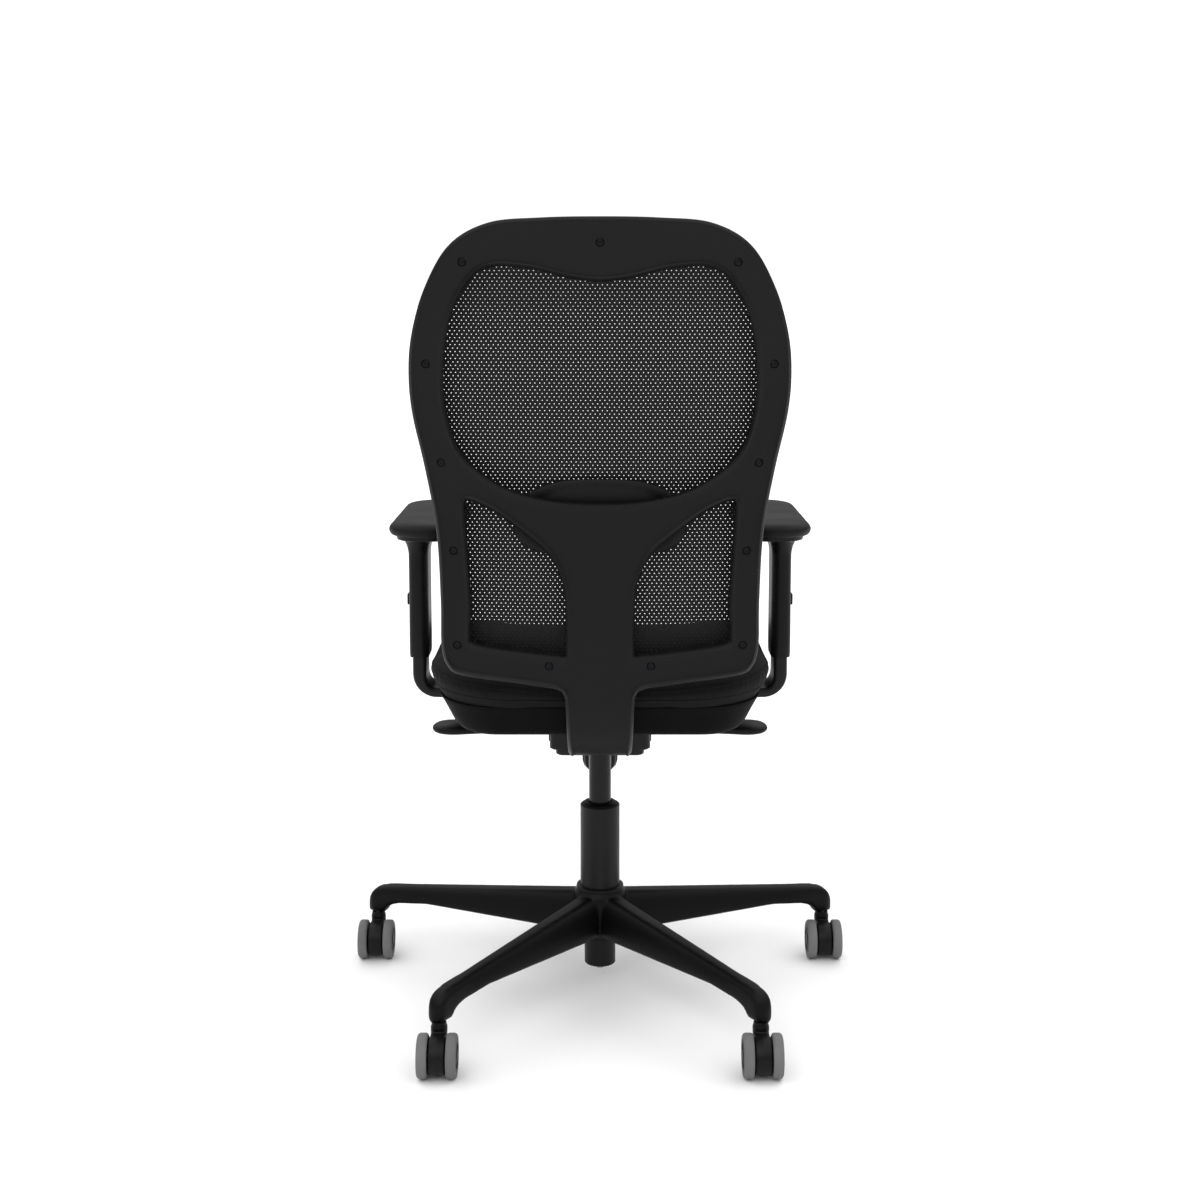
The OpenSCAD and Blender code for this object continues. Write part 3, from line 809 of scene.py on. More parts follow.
class Workshop:
    """Makes objects from shapes, dresses them and puts them on their bodies."""

    def __init__(self, frame: dict) -> None:
        """Paints every finish once.
        """
        self.frame = frame
        self.scene = bpy.context.scene
        self.paints = {slot: finish.paint() for slot, finish in FINISHES.items()}
        self.matt = UNDERSIDE.paint()
        self.nylon = CASTING.paint()
        self.count = 0

    def raw(self, name: str, shape: Shape) -> bpy.types.Object:
        """An object with a shape's mesh, faces outwards.

        Args:
            name: The object's name.
            shape: Its shape in millimetres.

        Returns:
            The object, not yet finished.
        """
        mesh = bpy.data.meshes.new(name)
        mesh.from_pydata((shape.points * MM).tolist(), [], shape.faces)
        work = bmesh.new()
        work.from_mesh(mesh)
        bmesh.ops.remove_doubles(work, verts=work.verts, dist=1e-6)
        bmesh.ops.dissolve_degenerate(work, edges=work.edges, dist=1e-7)
        bmesh.ops.recalc_face_normals(work, faces=work.faces)
        work.to_mesh(mesh)
        work.free()
        made = bpy.data.objects.new(name, mesh)
        self.scene.collection.objects.link(made)
        return made

    def settle(self, made: bpy.types.Object) -> None:
        """Turns the evaluated object into a plain mesh and drops its modifiers.

        Args:
            made: The object.
        """
        graph = bpy.context.evaluated_depsgraph_get()
        mesh = bpy.data.meshes.new_from_object(made.evaluated_get(graph))
        made.modifiers.clear()
        old = made.data
        made.data = mesh
        bpy.data.meshes.remove(old)

    def fuse(self, made: bpy.types.Object, voxel: float, passes: int = 4) -> None:
        """Blends overlapping shapes into one skin.

        Args:
            made: The object.
            voxel: Voxel size in millimetres.
            passes: Smoothing passes.
        """
        remesh = made.modifiers.new("blend", "REMESH")
        remesh.mode = "VOXEL"
        remesh.voxel_size = voxel * MM
        smooth = made.modifiers.new("smooth", "SMOOTH")
        smooth.factor = 0.5
        smooth.iterations = passes
        self.settle(made)

    def finish(
        self, made: bpy.types.Object, slot: Slot, body: str, *nodes: str, angle: float = SMOOTH_ANGLE
    ) -> bpy.types.Object:
        """Dresses an object and makes it ride on its body.

        Args:
            made: The object.
            slot: Its material slot.
            body: The body that it moves with.
            *nodes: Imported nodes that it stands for.
            angle: Edges sharper than this stay sharp.

        Returns:
            The object.
        """
        made.data.shade_smooth()
        made.data.set_sharp_from_angle(angle=angle)
        made.data.materials.clear()
        made.data.materials.append(self.paints[slot])
        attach(made, body)
        if nodes:
            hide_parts(*nodes)
        self.count += 1
        LOG.info("%s: %d faces on %s", made.name, len(made.data.polygons), body)
        return made

    def piece(
        self, name: str, shape: Shape, slot: Slot, body: str, *nodes: str, angle: float = SMOOTH_ANGLE
    ) -> bpy.types.Object:
        """Makes, dresses and places one piece.

        Args:
            name: The piece's name.
            shape: Its shape.
            slot: The slot of its finish.
            body: The body that it rides on.
            *nodes: The nodes that it stands for.
            angle: Edges under this are shaded smooth.

        Returns:
            The finished piece.
        """
        return self.finish(self.raw(name, shape), slot, body, *nodes, angle=angle)

    def repaint_frame(self) -> None:
        """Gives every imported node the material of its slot."""
        slots = {s["node"]: s["material_slot"] for s in self.frame["record"]["subparts"]}
        for node, made in self.frame["nodes"].items():
            paint = self.paints[Slot(slots[node])]
            if not made.material_slots:
                made.data.materials.append(paint)
            for place in made.material_slots:
                place.material = paint


class Scatter:
    """A Geometry Nodes tree that sets a copy of an item on every point, turned by the point's own angles."""

    def __init__(self) -> None:
        """Builds the tree once."""
        self.tree = bpy.data.node_groups.new("scatter_items", "GeometryNodeTree")
        face = self.tree.interface
        self.inputs = {}
        face.new_socket("Points", in_out="INPUT", socket_type="NodeSocketGeometry")
        for name, kind in (("Item", "Object"), ("Size", "Float"), ("Weld", "Float"), ("Finish", "Material")):
            made = face.new_socket(name, in_out="INPUT", socket_type=f"NodeSocket{kind}")
            self.inputs[name] = made.identifier
        face.new_socket("Result", in_out="OUTPUT", socket_type="NodeSocketGeometry")
        new, link = self.tree.nodes.new, self.tree.links.new
        start, end = new("NodeGroupInput"), new("NodeGroupOutput")
        item = new("GeometryNodeObjectInfo")
        turn = new("GeometryNodeInputNamedAttribute")
        turn.data_type = "FLOAT_VECTOR"
        turn.inputs["Name"].default_value = "turn"
        euler = new("FunctionNodeEulerToRotation")
        place = new("GeometryNodeInstanceOnPoints")
        real = new("GeometryNodeRealizeInstances")
        weld = new("GeometryNodeMergeByDistance")
        dress = new("GeometryNodeSetMaterial")
        link(start.outputs["Item"], item.inputs["Object"])
        link(start.outputs["Points"], place.inputs["Points"])
        link(item.outputs["Geometry"], place.inputs["Instance"])
        link(turn.outputs["Attribute"], euler.inputs[0])
        link(euler.outputs[0], place.inputs["Rotation"])
        link(start.outputs["Size"], place.inputs["Scale"])
        link(place.outputs["Instances"], real.inputs["Geometry"])
        link(real.outputs["Geometry"], weld.inputs["Geometry"])
        link(start.outputs["Weld"], weld.inputs["Distance"])
        link(weld.outputs["Geometry"], dress.inputs["Geometry"])
        link(start.outputs["Finish"], dress.inputs["Material"])
        link(dress.outputs["Geometry"], end.inputs["Result"])

    def spread(
        self,
        shop: Workshop,
        name: str,
        item: Shape,
        places: np.ndarray,
        turns: np.ndarray,
        paint: bpy.types.Material,
        weld: float = 0.0,
    ) -> bpy.types.Object:
        """Scatters an item.

        Args:
            shop: The workshop.
            name: Name of the result.
            item: The repeated shape about its own origin.
            places: Where the copies go, in millimetres.
            turns: Their Euler angles in radians.
            paint: Their material.
            weld: Points this near are merged, in millimetres.

        Returns:
            An object with a plain mesh.
        """
        seed = shop.raw(f"{name}_item", item)
        mesh = bpy.data.meshes.new(name)
        mesh.from_pydata((places * MM).tolist(), [], [])
        mesh.attributes.new("turn", "FLOAT_VECTOR", "POINT").data.foreach_set(
            "vector", turns.astype(np.float32).ravel()
        )
        made = bpy.data.objects.new(name, mesh)
        shop.scene.collection.objects.link(made)
        nodes = made.modifiers.new("scatter", "NODES")
        nodes.node_group = self.tree
        nodes[self.inputs["Item"]] = seed
        nodes[self.inputs["Size"]] = 1.0
        nodes[self.inputs["Weld"]] = weld * MM
        nodes[self.inputs["Finish"]] = paint
        bpy.context.view_layer.update()
        shop.settle(made)
        bpy.data.objects.remove(seed)
        return made


def puff(shop: Workshop, made: bpy.types.Object, voxel: float, cap: float, pressure: float = 4.0) -> None:
    """Fills a soft form by cloth simulation and applies the result.

    Args:
        shop: The workshop.
        made: The closed form.
        voxel: Size of its remesh in millimetres.
        cap: The furthest a point may move, in millimetres.
        pressure: The filling's pressure.
    """
    remesh = made.modifiers.new("grid", "REMESH")
    remesh.mode = "VOXEL"
    remesh.voxel_size = voxel * MM
    shop.settle(made)
    count = len(made.data.vertices)
    rest = np.zeros(count * 3, np.float32)
    made.data.vertices.foreach_get("co", rest)
    cloth = made.modifiers.new("filling", "CLOTH")
    cloth.settings.quality = 5
    cloth.settings.mass = 0.3
    cloth.settings.use_pressure = True
    cloth.settings.uniform_pressure_force = pressure
    cloth.settings.effector_weights.gravity = 0
    for step in range(1, 21):
        shop.scene.frame_set(step)
    graph = bpy.context.evaluated_depsgraph_get()
    ready = made.evaluated_get(graph).to_mesh()
    moved = np.zeros(count * 3, np.float32)
    ready.vertices.foreach_get("co", moved)
    made.evaluated_get(graph).to_mesh_clear()
    made.modifiers.clear()
    shop.scene.frame_set(1)
    shift = (moved - rest).reshape(-1, 3)
    length = np.linalg.norm(shift, axis=1)[:, None]
    moved = rest + (shift * np.minimum(1, cap * MM / np.maximum(length, 1e-9))).ravel()
    made.data.vertices.foreach_set("co", moved.astype(np.float32))
    made.data.update()


def warp(made: bpy.types.Object, rule: Callable[[np.ndarray], np.ndarray]) -> None:
    """Moves an object's points by a rule in millimetres.

    Args:
        made: The object.
        rule: Takes points and gives them back moved.
    """
    flat = np.zeros(len(made.data.vertices) * 3, np.float32)
    made.data.vertices.foreach_get("co", flat)
    points = rule(flat.reshape(-1, 3).astype(float) / MM) * MM
    made.data.vertices.foreach_set("co", points.astype(np.float32).ravel())
    made.data.update()


# ---------------------------------------------------------------- base and casters


@dataclass
class StarBase:
    """Five arms that fall from the hub and turn down to the caster sockets."""

    shop: Workshop
    reach: float = 312.0
    angles: tuple[int, ...] = (54, 126, 198, 270, 342)
    hub: float = 34.0
    voxel: float = 1.9
    stations: tuple[float, ...] = (
        6, 45, 90, 140, 190, 237, 262, 278, 288, 294, 298, 300, 303, 307, 312, 316, 319.5, 322, 323.4
    )

    def arm(self) -> Shape:
        """One arm along +X, as upright sections that end in the socket over the caster.

        Returns:
            The arm.
        """
        low, high = extent("base_star")
        top, foot, end = high[2] - 8, low[2], self.reach + 12
        crown, bend = foot + 35.5, 25.0
        rings = []
        for r in (*self.stations, end):
            upper = np.interp(r, (0, 298), (top + 3.5, crown + 1))
            if r > end - bend:
                upper = crown - bend + math.sqrt(max(bend**2 - (r - end + bend) ** 2, 1))
            under = np.interp(
                r, (0, 237, 278, 288, 294, 298, 300),
                (foot + 8, foot + 19, foot + 15, foot + 12, foot + 8.5, foot + 4, foot)
            )
            wide = np.interp(r, (0, 237, 300), (25, 15.2, 12.2))
            if r > self.reach:
                wide = math.sqrt(max(12.2**2 - (r - self.reach) ** 2, 3))
            tip = ease(r, 255.0, 300.0)
            ring = super_ring(wide, (upper - under) / 2, 4.4 - 0.6 * tip, 40)
            lift = ring[:, 1] / (upper - under) + 0.5
            ring[:, 0] *= 1 - (0.44 - 0.34 * tip) * lift**1.6
            rings.append(
                np.column_stack([np.full(len(ring), r), ring[:, 0], (upper + under) / 2 + ring[:, 1]])
            )
        return Shape.loft(rings)

    def build(self) -> None:
        """Makes the star and its hub ring round the column's foot."""
        low, high = extent("base_star")
        top, foot = high[2], low[2] + 4
        tube = extent("column_tube")[1][0]
        hub = Shape.turned(
            [
                (0, foot), (self.hub - 6, foot), (self.hub, foot + 5), (self.hub + 1.5, foot + 30),
                (self.hub - 1, top - 9), (self.hub - 4, top - 3), (tube + 3.5, top), (0, top)
            ],
        )
        arm = self.arm()
        star = self.shop.raw("star_base", Shape.joined([hub, *(arm.spun(a) for a in self.angles)]))
        self.shop.fuse(star, self.voxel, 3)
        self.shop.finish(star, Slot.PLASTIC, "base", "base_star")
        star.data.materials[0] = self.shop.nylon
        collar = Shape.turned(
            [
                (self.hub - 14, top - 1.5), (tube + 5.2, top - 1.5), (tube + 4.6, top + 1.6),
                (tube + 0.3, top + 2.2), (tube + 0.3, top - 1.5)
            ]
        )
        self.shop.piece("hub_collar", collar, Slot.PLASTIC, "base")


@dataclass
class Caster:
    """A twin wheel caster: hood, stem neck, grey tyres and black discs."""

    shop: Workshop
    number: int
    tyre_depth: float = 6.2

    def hood(self, axle: np.ndarray, swivel: np.ndarray, half: float, wheel: float) -> Shape:
        """The hood between the wheels with its neck up to the stem.

        Args:
            axle: The axle's place.
            swivel: The stem's place.
            half: Half the gap between the wheels.
            wheel: The wheel's radius.

        Returns:
            The hood.
        """
        round_hood = Shape.turned(
            [
                (0, -half), (wheel - 5.5, -half), (wheel - 3.6, -half + 1.6), (wheel - 2.8, 0),
                (wheel - 3.6, half - 1.6), (wheel - 5.5, half), (0, half)
            ],
            56
        ).onto_x(1).moved(*axle)
        neck = Shape.stack(
            [
                (axle[2] - 2, rounded_ring(8.2, 8.6, 7)), (axle[2] + 12, rounded_ring(9.2, 9.4, 8)),
                (swivel[2] - 2, rounded_ring(9.6, 9.6, 9.4)), (swivel[2] + 1, rounded_ring(8.6, 8.6, 8.5)),
                (swivel[2] + 4.6, rounded_ring(8.2, 8.2, 8.1))
            ],
            swivel[:2],
        )
        bridge = Shape.stack(
            [
                (axle[2] + 2, rounded_ring(half - 0.4, 14, 3)),
                (axle[2] + wheel - 7, rounded_ring(half - 1, 13, 3)),
                (axle[2] + wheel - 5.5, rounded_ring(half - 3, 11, 3))
            ],
            (axle[0], axle[1] - 12),
        )
        return Shape.joined([round_hood, neck, bridge])

    def build(self) -> None:
        """Makes the hood and both wheels."""
        prefix = f"caster_{self.number}"
        low, high = extent(f"{prefix}_wheel_left")
        hood_low, hood_high = extent(f"{prefix}_housing")
        wheel = (high[2] - low[2]) / 2
        middle = (hood_low[0] + hood_high[0]) / 2
        half = (hood_high[0] - hood_low[0]) / 2
        axle = np.array([middle, (low[1] + high[1]) / 2, wheel])
        swivel = np.array([middle, hood_low[1] + half - 0.4, hood_high[2]])
        hood = self.shop.raw(f"caster_hood_{self.number}", self.hood(axle, swivel, half, wheel))
        self.shop.fuse(hood, 0.8, 3)
        self.shop.finish(hood, Slot.PLASTIC, prefix, f"{prefix}_housing")
        width = high[0] - low[0]
        inner = wheel - self.tyre_depth
        tyre = Shape.turned(
            [
                (inner, 0.6), (wheel - 2.4, 0), (wheel - 0.8, 0.9), (wheel, 2.6), (wheel, width - 3.2),
                (wheel - 0.9, width - 1.2), (wheel - 2.8, width), (inner, width - 0.5)
            ],
            64
        )
        disc = Shape.turned(
            [
                (4.4, 0.8), (inner - 0.2, 0.8), (inner - 0.2, width - 1.6), (inner - 1.6, width - 0.5),
                (inner - 4, width - 0.2), (inner - 5, width - 1.4), (9, width - 1.8), (7.5, width - 0.6),
                (6.5, width), (0.05, width), (0.05, width - 2.5), (4.4, width - 2.5)
            ],
            64
        )
        for side in Side:
            label = side.name.lower()
            body = f"wheel_{self.number}_{label}"
            start = middle + side.value * (half + 0.5)
            self.shop.piece(
                f"caster_tyre_{self.number}_{label}", tyre.onto_x(side.value).moved(start, axle[1], axle[2]),
                Slot.TREAD, body, f"{prefix}_wheel_{label}"
            )
            self.shop.piece(
                f"caster_disc_{self.number}_{label}", disc.onto_x(side.value).moved(start, axle[1], axle[2]),
                Slot.PLASTIC, body, f"{prefix}_wheel_{label}"
            )


@dataclass
class GasLift:
    """The column tube, the cylinder in it and a dust ring where they meet."""

    shop: Workshop

    def build(self) -> None:
        """Makes the smooth tube, cylinder and ring."""
        low, high = extent("column_tube")
        tube = high[0]
        step = extent("base_star")[0][2] + 30
        foot = tube - 5.25
        outer = Shape.turned(
            [
                (foot - 3, low[2] + 0.2), (foot - 0.8, low[2] + 0.2), (foot, low[2] + 1.2), (foot, step - 6),
                (tube, step), (tube, high[2] - 1.6), (tube - 1.4, high[2] - 0.2), (tube - 3, high[2] - 0.2),
                (tube - 3, high[2] - 8), (foot - 3, step - 10)
            ],
            72
        )
        self.shop.piece("column_sleeve", outer, Slot.STEEL, "base", "column_tube")
        ring = Shape.turned(
            [
                (14.4, high[2] - 6), (tube - 3.1, high[2] - 6), (tube - 3.1, high[2] + 0.6),
                (tube - 5, high[2] + 2.2), (15.6, high[2] + 2.6), (14.4, high[2] + 1.6)
            ],
            64
        )
        self.shop.piece("dust_ring", ring, Slot.PLASTIC, "base")
        low, high = extent("gas_cylinder")
        r = high[0]
        body = Shape.turned(
            [
                (5.3, low[2]), (r - 1, low[2]), (r, low[2] + 1), (r, high[2] - 14), (r - 0.5, high[2]),
                (5.3, high[2])
            ],
            64
        )
        self.shop.piece("gas_cylinder_skin", body, Slot.CYLINDER, "mechanism", "gas_cylinder")


@dataclass
class Mechanism:
    """The tilt housing under the seat with its tension knob and two levers."""

    shop: Workshop
    scatter: Scatter
    lobes: int = 12

    def housing(self) -> None:
        """The stepped housing, a rib on each flank and four cover screws."""
        low, high = extent("mechanism_housing")
        ears = 15.0
        half = high[0] - ears
        y0, y1 = low[1], high[1]
        mid, depth = (y0 + y1) / 2, (y1 - y0) / 2
        base, top = low[2], high[2]
        step = base + 9
        shell = Shape.stack(
            [
                (base, rounded_ring(half - 10, depth - 9, 7)),
                (base + 1.6, rounded_ring(half - 7.6, depth - 6.6, 8)),
                (step - 1.2, rounded_ring(half - 7, depth - 6, 8)),
                (step - 0.4, rounded_ring(half - 2.2, depth - 1.6, 9)),
                (step + 1.4, rounded_ring(half, depth, 9)), (top - 2, rounded_ring(half, depth, 9)),
                (top - 0.2, rounded_ring(half - 2, depth - 2, 8))
            ],
            (0, mid),
        )
        ear = Shape.stack(
            [
                (step + 1, rounded_ring(9, 3.4, 2)), (step + 3, rounded_ring(11, 3.5, 2)),
                (base + 20, rounded_ring(11, 3.5, 2)), (base + 22, rounded_ring(9, 2.6, 2))
            ]
        )
        parts = [shell]
        for sign in (-1, 1):
            for y in (-69.5, -50.5):
                parts.append(ear.moved(sign * (half + 4), y, 0))
            for y in (-115, -10, 30, 70):
                rib = Shape.stack(
                    [(step + 4, rounded_ring(1.6, 2.2, 1)), (top - 5, rounded_ring(1.6, 2.2, 1))]
                )
                parts.append(rib.moved(sign * (half + 0.3), y, 0))
        self.shop.piece("tilt_housing", Shape.joined(parts), Slot.STEEL, "mechanism", "mechanism_housing")
        spots = np.array([(sx * (half - 22), y, base + 0.2) for sx in (-1, 1) for y in (-118, 80)], float)
        screws = self.scatter.spread(
            self.shop, "housing_screws", screw_item(4.4), spots, np.tile((math.pi, 0, 0), (len(spots), 1)),
            self.shop.paints[Slot.SCREW]
        )
        self.shop.finish(screws, Slot.SCREW, "mechanism")

    def knob(self) -> None:
        """The lobed tension knob with a rounded foot and a neck."""
        low, high = extent("tension_knob")
        x, y = (low[0] + high[0]) / 2, (low[1] + high[1]) / 2
        r = (high[0] - low[0]) / 2
        foot = low[2]
        crown = foot + 43
        profile = [
            (0.01, foot), (r * 0.45, foot + 0.4), (r * 0.72, foot + 2.6), (r * 0.9, foot + 7), (r, foot + 14),
            (r, crown - 5), (r - 1.5, crown - 1), (r - 6, crown), (11, crown), (9.5, crown + 3),
            (9, high[2] - 16), (0.01, high[2] - 16)
        ]
        a = np.linspace(0, 2 * np.pi, 144, endpoint=False)
        rings = []
        for k, (radius, z) in enumerate(profile):
            depth = 1.7 if 3 <= k <= 6 else 0.6 if k == 2 else 0.0
            wave = radius - depth * (0.5 - 0.5 * np.cos(self.lobes * a)) ** 3
            rings.append(np.stack([x + wave * np.cos(a), y + wave * np.sin(a), np.full(len(a), z)], axis=1))
        self.shop.piece(
            "tension_knob_grip", Shape.loft(rings), Slot.PLASTIC, "knob", "tension_knob",
            angle=math.radians(60)
        )

    def lever(self, name: str, body: str, side: Side) -> None:
        """A lever arm that drops outwards to a slim paddle.

        Args:
            name: The lever's node.
            body: The body that it rides on.
            side: The side that it is on.
        """
        low, high = extent(f"{name}_paddle")
        tip = max(abs(low[0]), abs(high[0]))
        z, y = (low[2] + high[2]) / 2, (low[1] + high[1]) / 2
        rows = [
            (tip - 84, 6, 4.6), (tip - 74, 9, 5.4), (tip - 60, 15, 6.6), (tip - 42, 20.5, 7.8),
            (tip - 24, 22.5, 8.0), (tip - 11, 20, 6.8), (tip - 4, 14.5, 4.6), (tip - 0.6, 7, 2.2),
            (tip, 2, 0.8)
        ]
        table = curve_through(rows, 4)
        rings = []
        for x, wide, tall in table:
            ring = super_ring(max(wide, 0.6), max(tall, 0.4), 2.4, 28)
            sag = -2.2 * ease(x, tip - 80, tip - 40)
            rings.append(np.stack([np.full(len(ring), x), y + ring[:, 0], z - sag + ring[:, 1]], axis=1))
        self.shop.piece(f"{name}_grip", Shape.loft(rings).flipped(side), Slot.PLASTIC, body, f"{name}_paddle")
        pivot = extent("lever_pins")
        x0, z0 = pivot[1][0] - 3, (pivot[0][2] + pivot[1][2]) / 2
        path = curve_through(
            [
                (x0 - 2, y + 2, z0), (x0 + 14, y + 2, z0 - 3), (x0 + 42, y + 1, z0 - 15),
                (x0 + 64, y, z + 1.5), (tip - 78, y, z)
            ],
            6
        )
        sections = [super_ring(4.6, 3.6, 2.6, 16)] * len(path)
        bar = Shape.sweep(path, (0, 1, 0), sections)
        self.shop.piece(f"{name}_bar", bar.flipped(side), Slot.PLASTIC, body)

    def build(self) -> None:
        """Makes the housing, knob and levers."""
        self.housing()
        self.knob()
        self.lever("height_lever", "height_lever", Side.RIGHT)
        self.lever("tilt_lever", "tilt_lever", Side.LEFT)


def screw_item(radius: float) -> Shape:
    """A small pan head screw with a six sided recess, standing on +Z.

    Args:
        radius: The head's radius.

    Returns:
        The screw.
    """
    a = np.linspace(0, 2 * np.pi, 24, endpoint=False)
    hexed = 1 / np.maximum(np.cos((a + np.pi / 6) % (np.pi / 3) - np.pi / 6), 0.5)
    rings = []
    for r, z, cut in (
        (1.0, -1.2, 0), (1.0, 0.3, 0), (0.93, 0.75, 0), (0.7, 1.1, 0), (0.52, 1.15, 1), (0.45, 0.2, 1)
    ):
        wave = radius * r * (hexed * 0.92 if cut else np.ones(24))
        rings.append(np.stack([wave * np.cos(a), wave * np.sin(a), np.full(24, z)], axis=1))
    return Shape.loft(rings)


# ---------------------------------------------------------------- seat


@dataclass
class Seat:
    """A dished cushion with two welts and a row of stitches, in a moulded shell."""

    shop: Workshop
    scatter: Scatter
    corner: float = 88.0
    dish: float = 13.0
    hook: tuple[float, float] = (139.5, 411.9)
    hook_room: float = 53.0
    spine_half: float = 43.0

    def plan(self, inset: float, rear: float = 0.0) -> Ring:
        """The seat's outline, fuller in front, drawn in by an inset.

        Args:
            inset: How far it is drawn in all round.
            rear: How much further the rear half is drawn in.

        Returns:
            The outline's points.
        """
        low, high = extent("seat_cushion")
        half_x, half_y = (high[0] - low[0]) / 2, (high[1] - low[1]) / 2
        base = evenly(rounded_ring(half_x, half_y, self.corner, 16), 8.0)
        along = np.roll(base, -1, axis=0) - np.roll(base, 1, axis=0)
        amount = (inset + rear * ease(base[:, 1] + (low[1] + high[1]) / 2, -25.0, 105.0))[:, None]
        outward = np.stack([-along[:, 1], along[:, 0]], axis=1)
        ring = base + amount * outward / np.linalg.norm(along, axis=1)[:, None]
        ring[:, 1] += (low[1] + high[1]) / 2
        front = ease(-ring[:, 1], 60.0, 240.0)
        ring[:, 0] *= 1 + 0.035 * front * (1 - ease(-ring[:, 1], 225.0, 252.0))
        bow = 6 * (1 - np.minimum(np.abs(ring[:, 0]) / half_x, 1) ** 2)
        ring[:, 1] -= bow * ease(-ring[:, 1], 150.0, 250.0)
        return ring

    def dished(self, points: np.ndarray) -> np.ndarray:
        """Raises the sides and lets the front fall away.

        Args:
            points: The cushion's points.

        Returns:
            The moved points.
        """
        low, high = extent("seat_cushion")
        x, y, z = points.T
        part = ease(z, low[2] - 6, high[2] - 6)
        across = np.abs(x) / high[0]
        lift = self.dish * across**2.4 - 4.5 * (1 - across**2) * ease(y, -220.0, -90.0)
        fall = -20 * ease(-y, 110.0, 225.0) * ease(z, low[2] - 10, high[2] - 8)
        points[:, 2] = z + part * lift + fall
        return points

    def cushion(self) -> None:
        """The foam cushion, filled by simulation and then dished."""
        low, high = extent("seat_cushion")
        z0, z1 = low[2] + 1, high[2] - 6
        layers = [
            (z0, self.plan(22, 9)), (z0 + 5, self.plan(14.5, 9.5)), (z0 + 14, self.plan(6.5, 7)),
            (z0 + 24, self.plan(1, 3)), (z1 - 12, self.plan(-2.5)), (z1 - 5, self.plan(-1)),
            (z1 - 1.5, self.plan(4)), (z1 + 0.5, self.plan(14)), (z1 + 1, self.plan(70)),
        ]
        made = self.shop.raw("seat_cushion_cover", Shape.stack(layers))
        puff(self.shop, made, 5.5, 7.0)
        warp(made, self.dished)
        smooth = made.modifiers.new("relax", "SMOOTH")
        smooth.factor, smooth.iterations = 0.5, 4
        rounder = made.modifiers.new("rounder", "SUBSURF")
        rounder.levels = rounder.render_levels = 1
        self.shop.settle(made)
        self.shop.finish(made, Slot.SEAT, "mechanism", "seat_cushion", angle=math.radians(80))
        self.welt(made)

    def seam_path(self, tree: BVHTree, height: float, sink: float = 0.0) -> np.ndarray:
        """A level seam round the cushion.

        Args:
            tree: The cushion's surface.
            height: The seam's height before the dish.
            sink: How far the seam lies inside the surface.

        Returns:
            The seam's points.
        """
        plan = self.plan(-2.0)
        start = self.dished(np.column_stack([plan, np.full(len(plan), height)]))
        path = []
        for point in start:
            place, normal, _, _ = tree.find_nearest(Vector(point * MM))
            path.append(np.array(place - normal * sink * MM) / MM)
        run = np.array(path)
        for _ in range(2):
            run = (np.roll(run, 1, axis=0) + 2 * run + np.roll(run, -1, axis=0)) / 4
        return run

    def welt(self, cushion: bpy.types.Object) -> None:
        """A sewn bead round the cushion's shoulder, a row of stitches under it and a finer bead at its foot.

        Args:
            cushion: The finished cushion.
        """
        tree = BVHTree.FromObject(cushion, bpy.context.evaluated_depsgraph_get())
        low, high = extent("seat_cushion")
        for name, height, radius in (
            ("seat_upper_welt", high[2] - 9, 1.5), ("seat_lower_welt", low[2] + 16, 1.0)
        ):
            self.shop.piece(
                name, Shape.cord(self.seam_path(tree, height), radius, 8), Slot.SEAT, "mechanism",
                angle=math.radians(80)
            )
        run = evenly(self.seam_path(tree, high[2] - 13.5), 5.0)
        along = np.roll(run, -1, axis=0) - np.roll(run, 1, axis=0)
        turns = np.zeros((len(run), 3))
        turns[:, 2] = np.arctan2(along[:, 1], along[:, 0])
        sections = ((-1.5, 0.1), (-1.2, 0.45), (0, 0.6), (1.2, 0.45), (1.5, 0.1))
        stitch = Shape.loft(
            [np.column_stack([np.full(8, x), super_ring(r, r * 0.8, 2, 8)]) for x, r in sections]
        )
        made = self.scatter.spread(
            self.shop, "seat_stitches", stitch, run, turns, self.shop.paints[Slot.SEAT]
        )
        self.shop.finish(made, Slot.SEAT, "mechanism", angle=math.radians(80))

    def shell(self) -> None:
        """The moulded shell under the cushion, deeper at the rear."""
        foot = extent("seat_pan")[0][2]
        cushion_low = extent("seat_cushion")[0][2]
        rows = [
            (foot, 60, 6), (foot, 46, 6), (foot + 1.2, 37, 6), (foot + 4.5, 30, 7), (foot + 10, 24, 7.5),
            (foot + 18, 17.5, 7.5), (foot + 23, 12.5, 7), (foot + 25.5, 9.5, 7), (foot + 26.5, 9.5, 7),
            (foot + 26.8, 11.5, 7), (foot + 25, 15, 7), (cushion_low + 2, 26, 7)
        ]
        rings = []
        for z, inset, rear in rows:
            plan = self.plan(inset, rear)
            drop = 13.5 * ease(plan[:, 1], 55.0, 140.0) * (1 - ease(z, foot + 8, foot + 28))
            height = z - drop
            room = self.hook_room**2 - (self.hook[1] - height) ** 2
            limit = self.hook[0] + np.sqrt(np.maximum(room, 16))
            inward = 1 - ease(np.abs(plan[:, 0]), self.spine_half, self.spine_half + 4)
            plan[:, 1] = np.where(plan[:, 1] > limit, plan[:, 1] + (limit - plan[:, 1]) * inward, plan[:, 1])
            rings.append(np.column_stack([plan, height]))
        lifted = Shape.loft(rings).bent(self.raised_sides)
        made = self.shop.piece(
            "seat_shell", lifted, Slot.PLASTIC, "mechanism", "seat_pan", angle=math.radians(50)
        )
        made.data.materials[0] = self.shop.matt

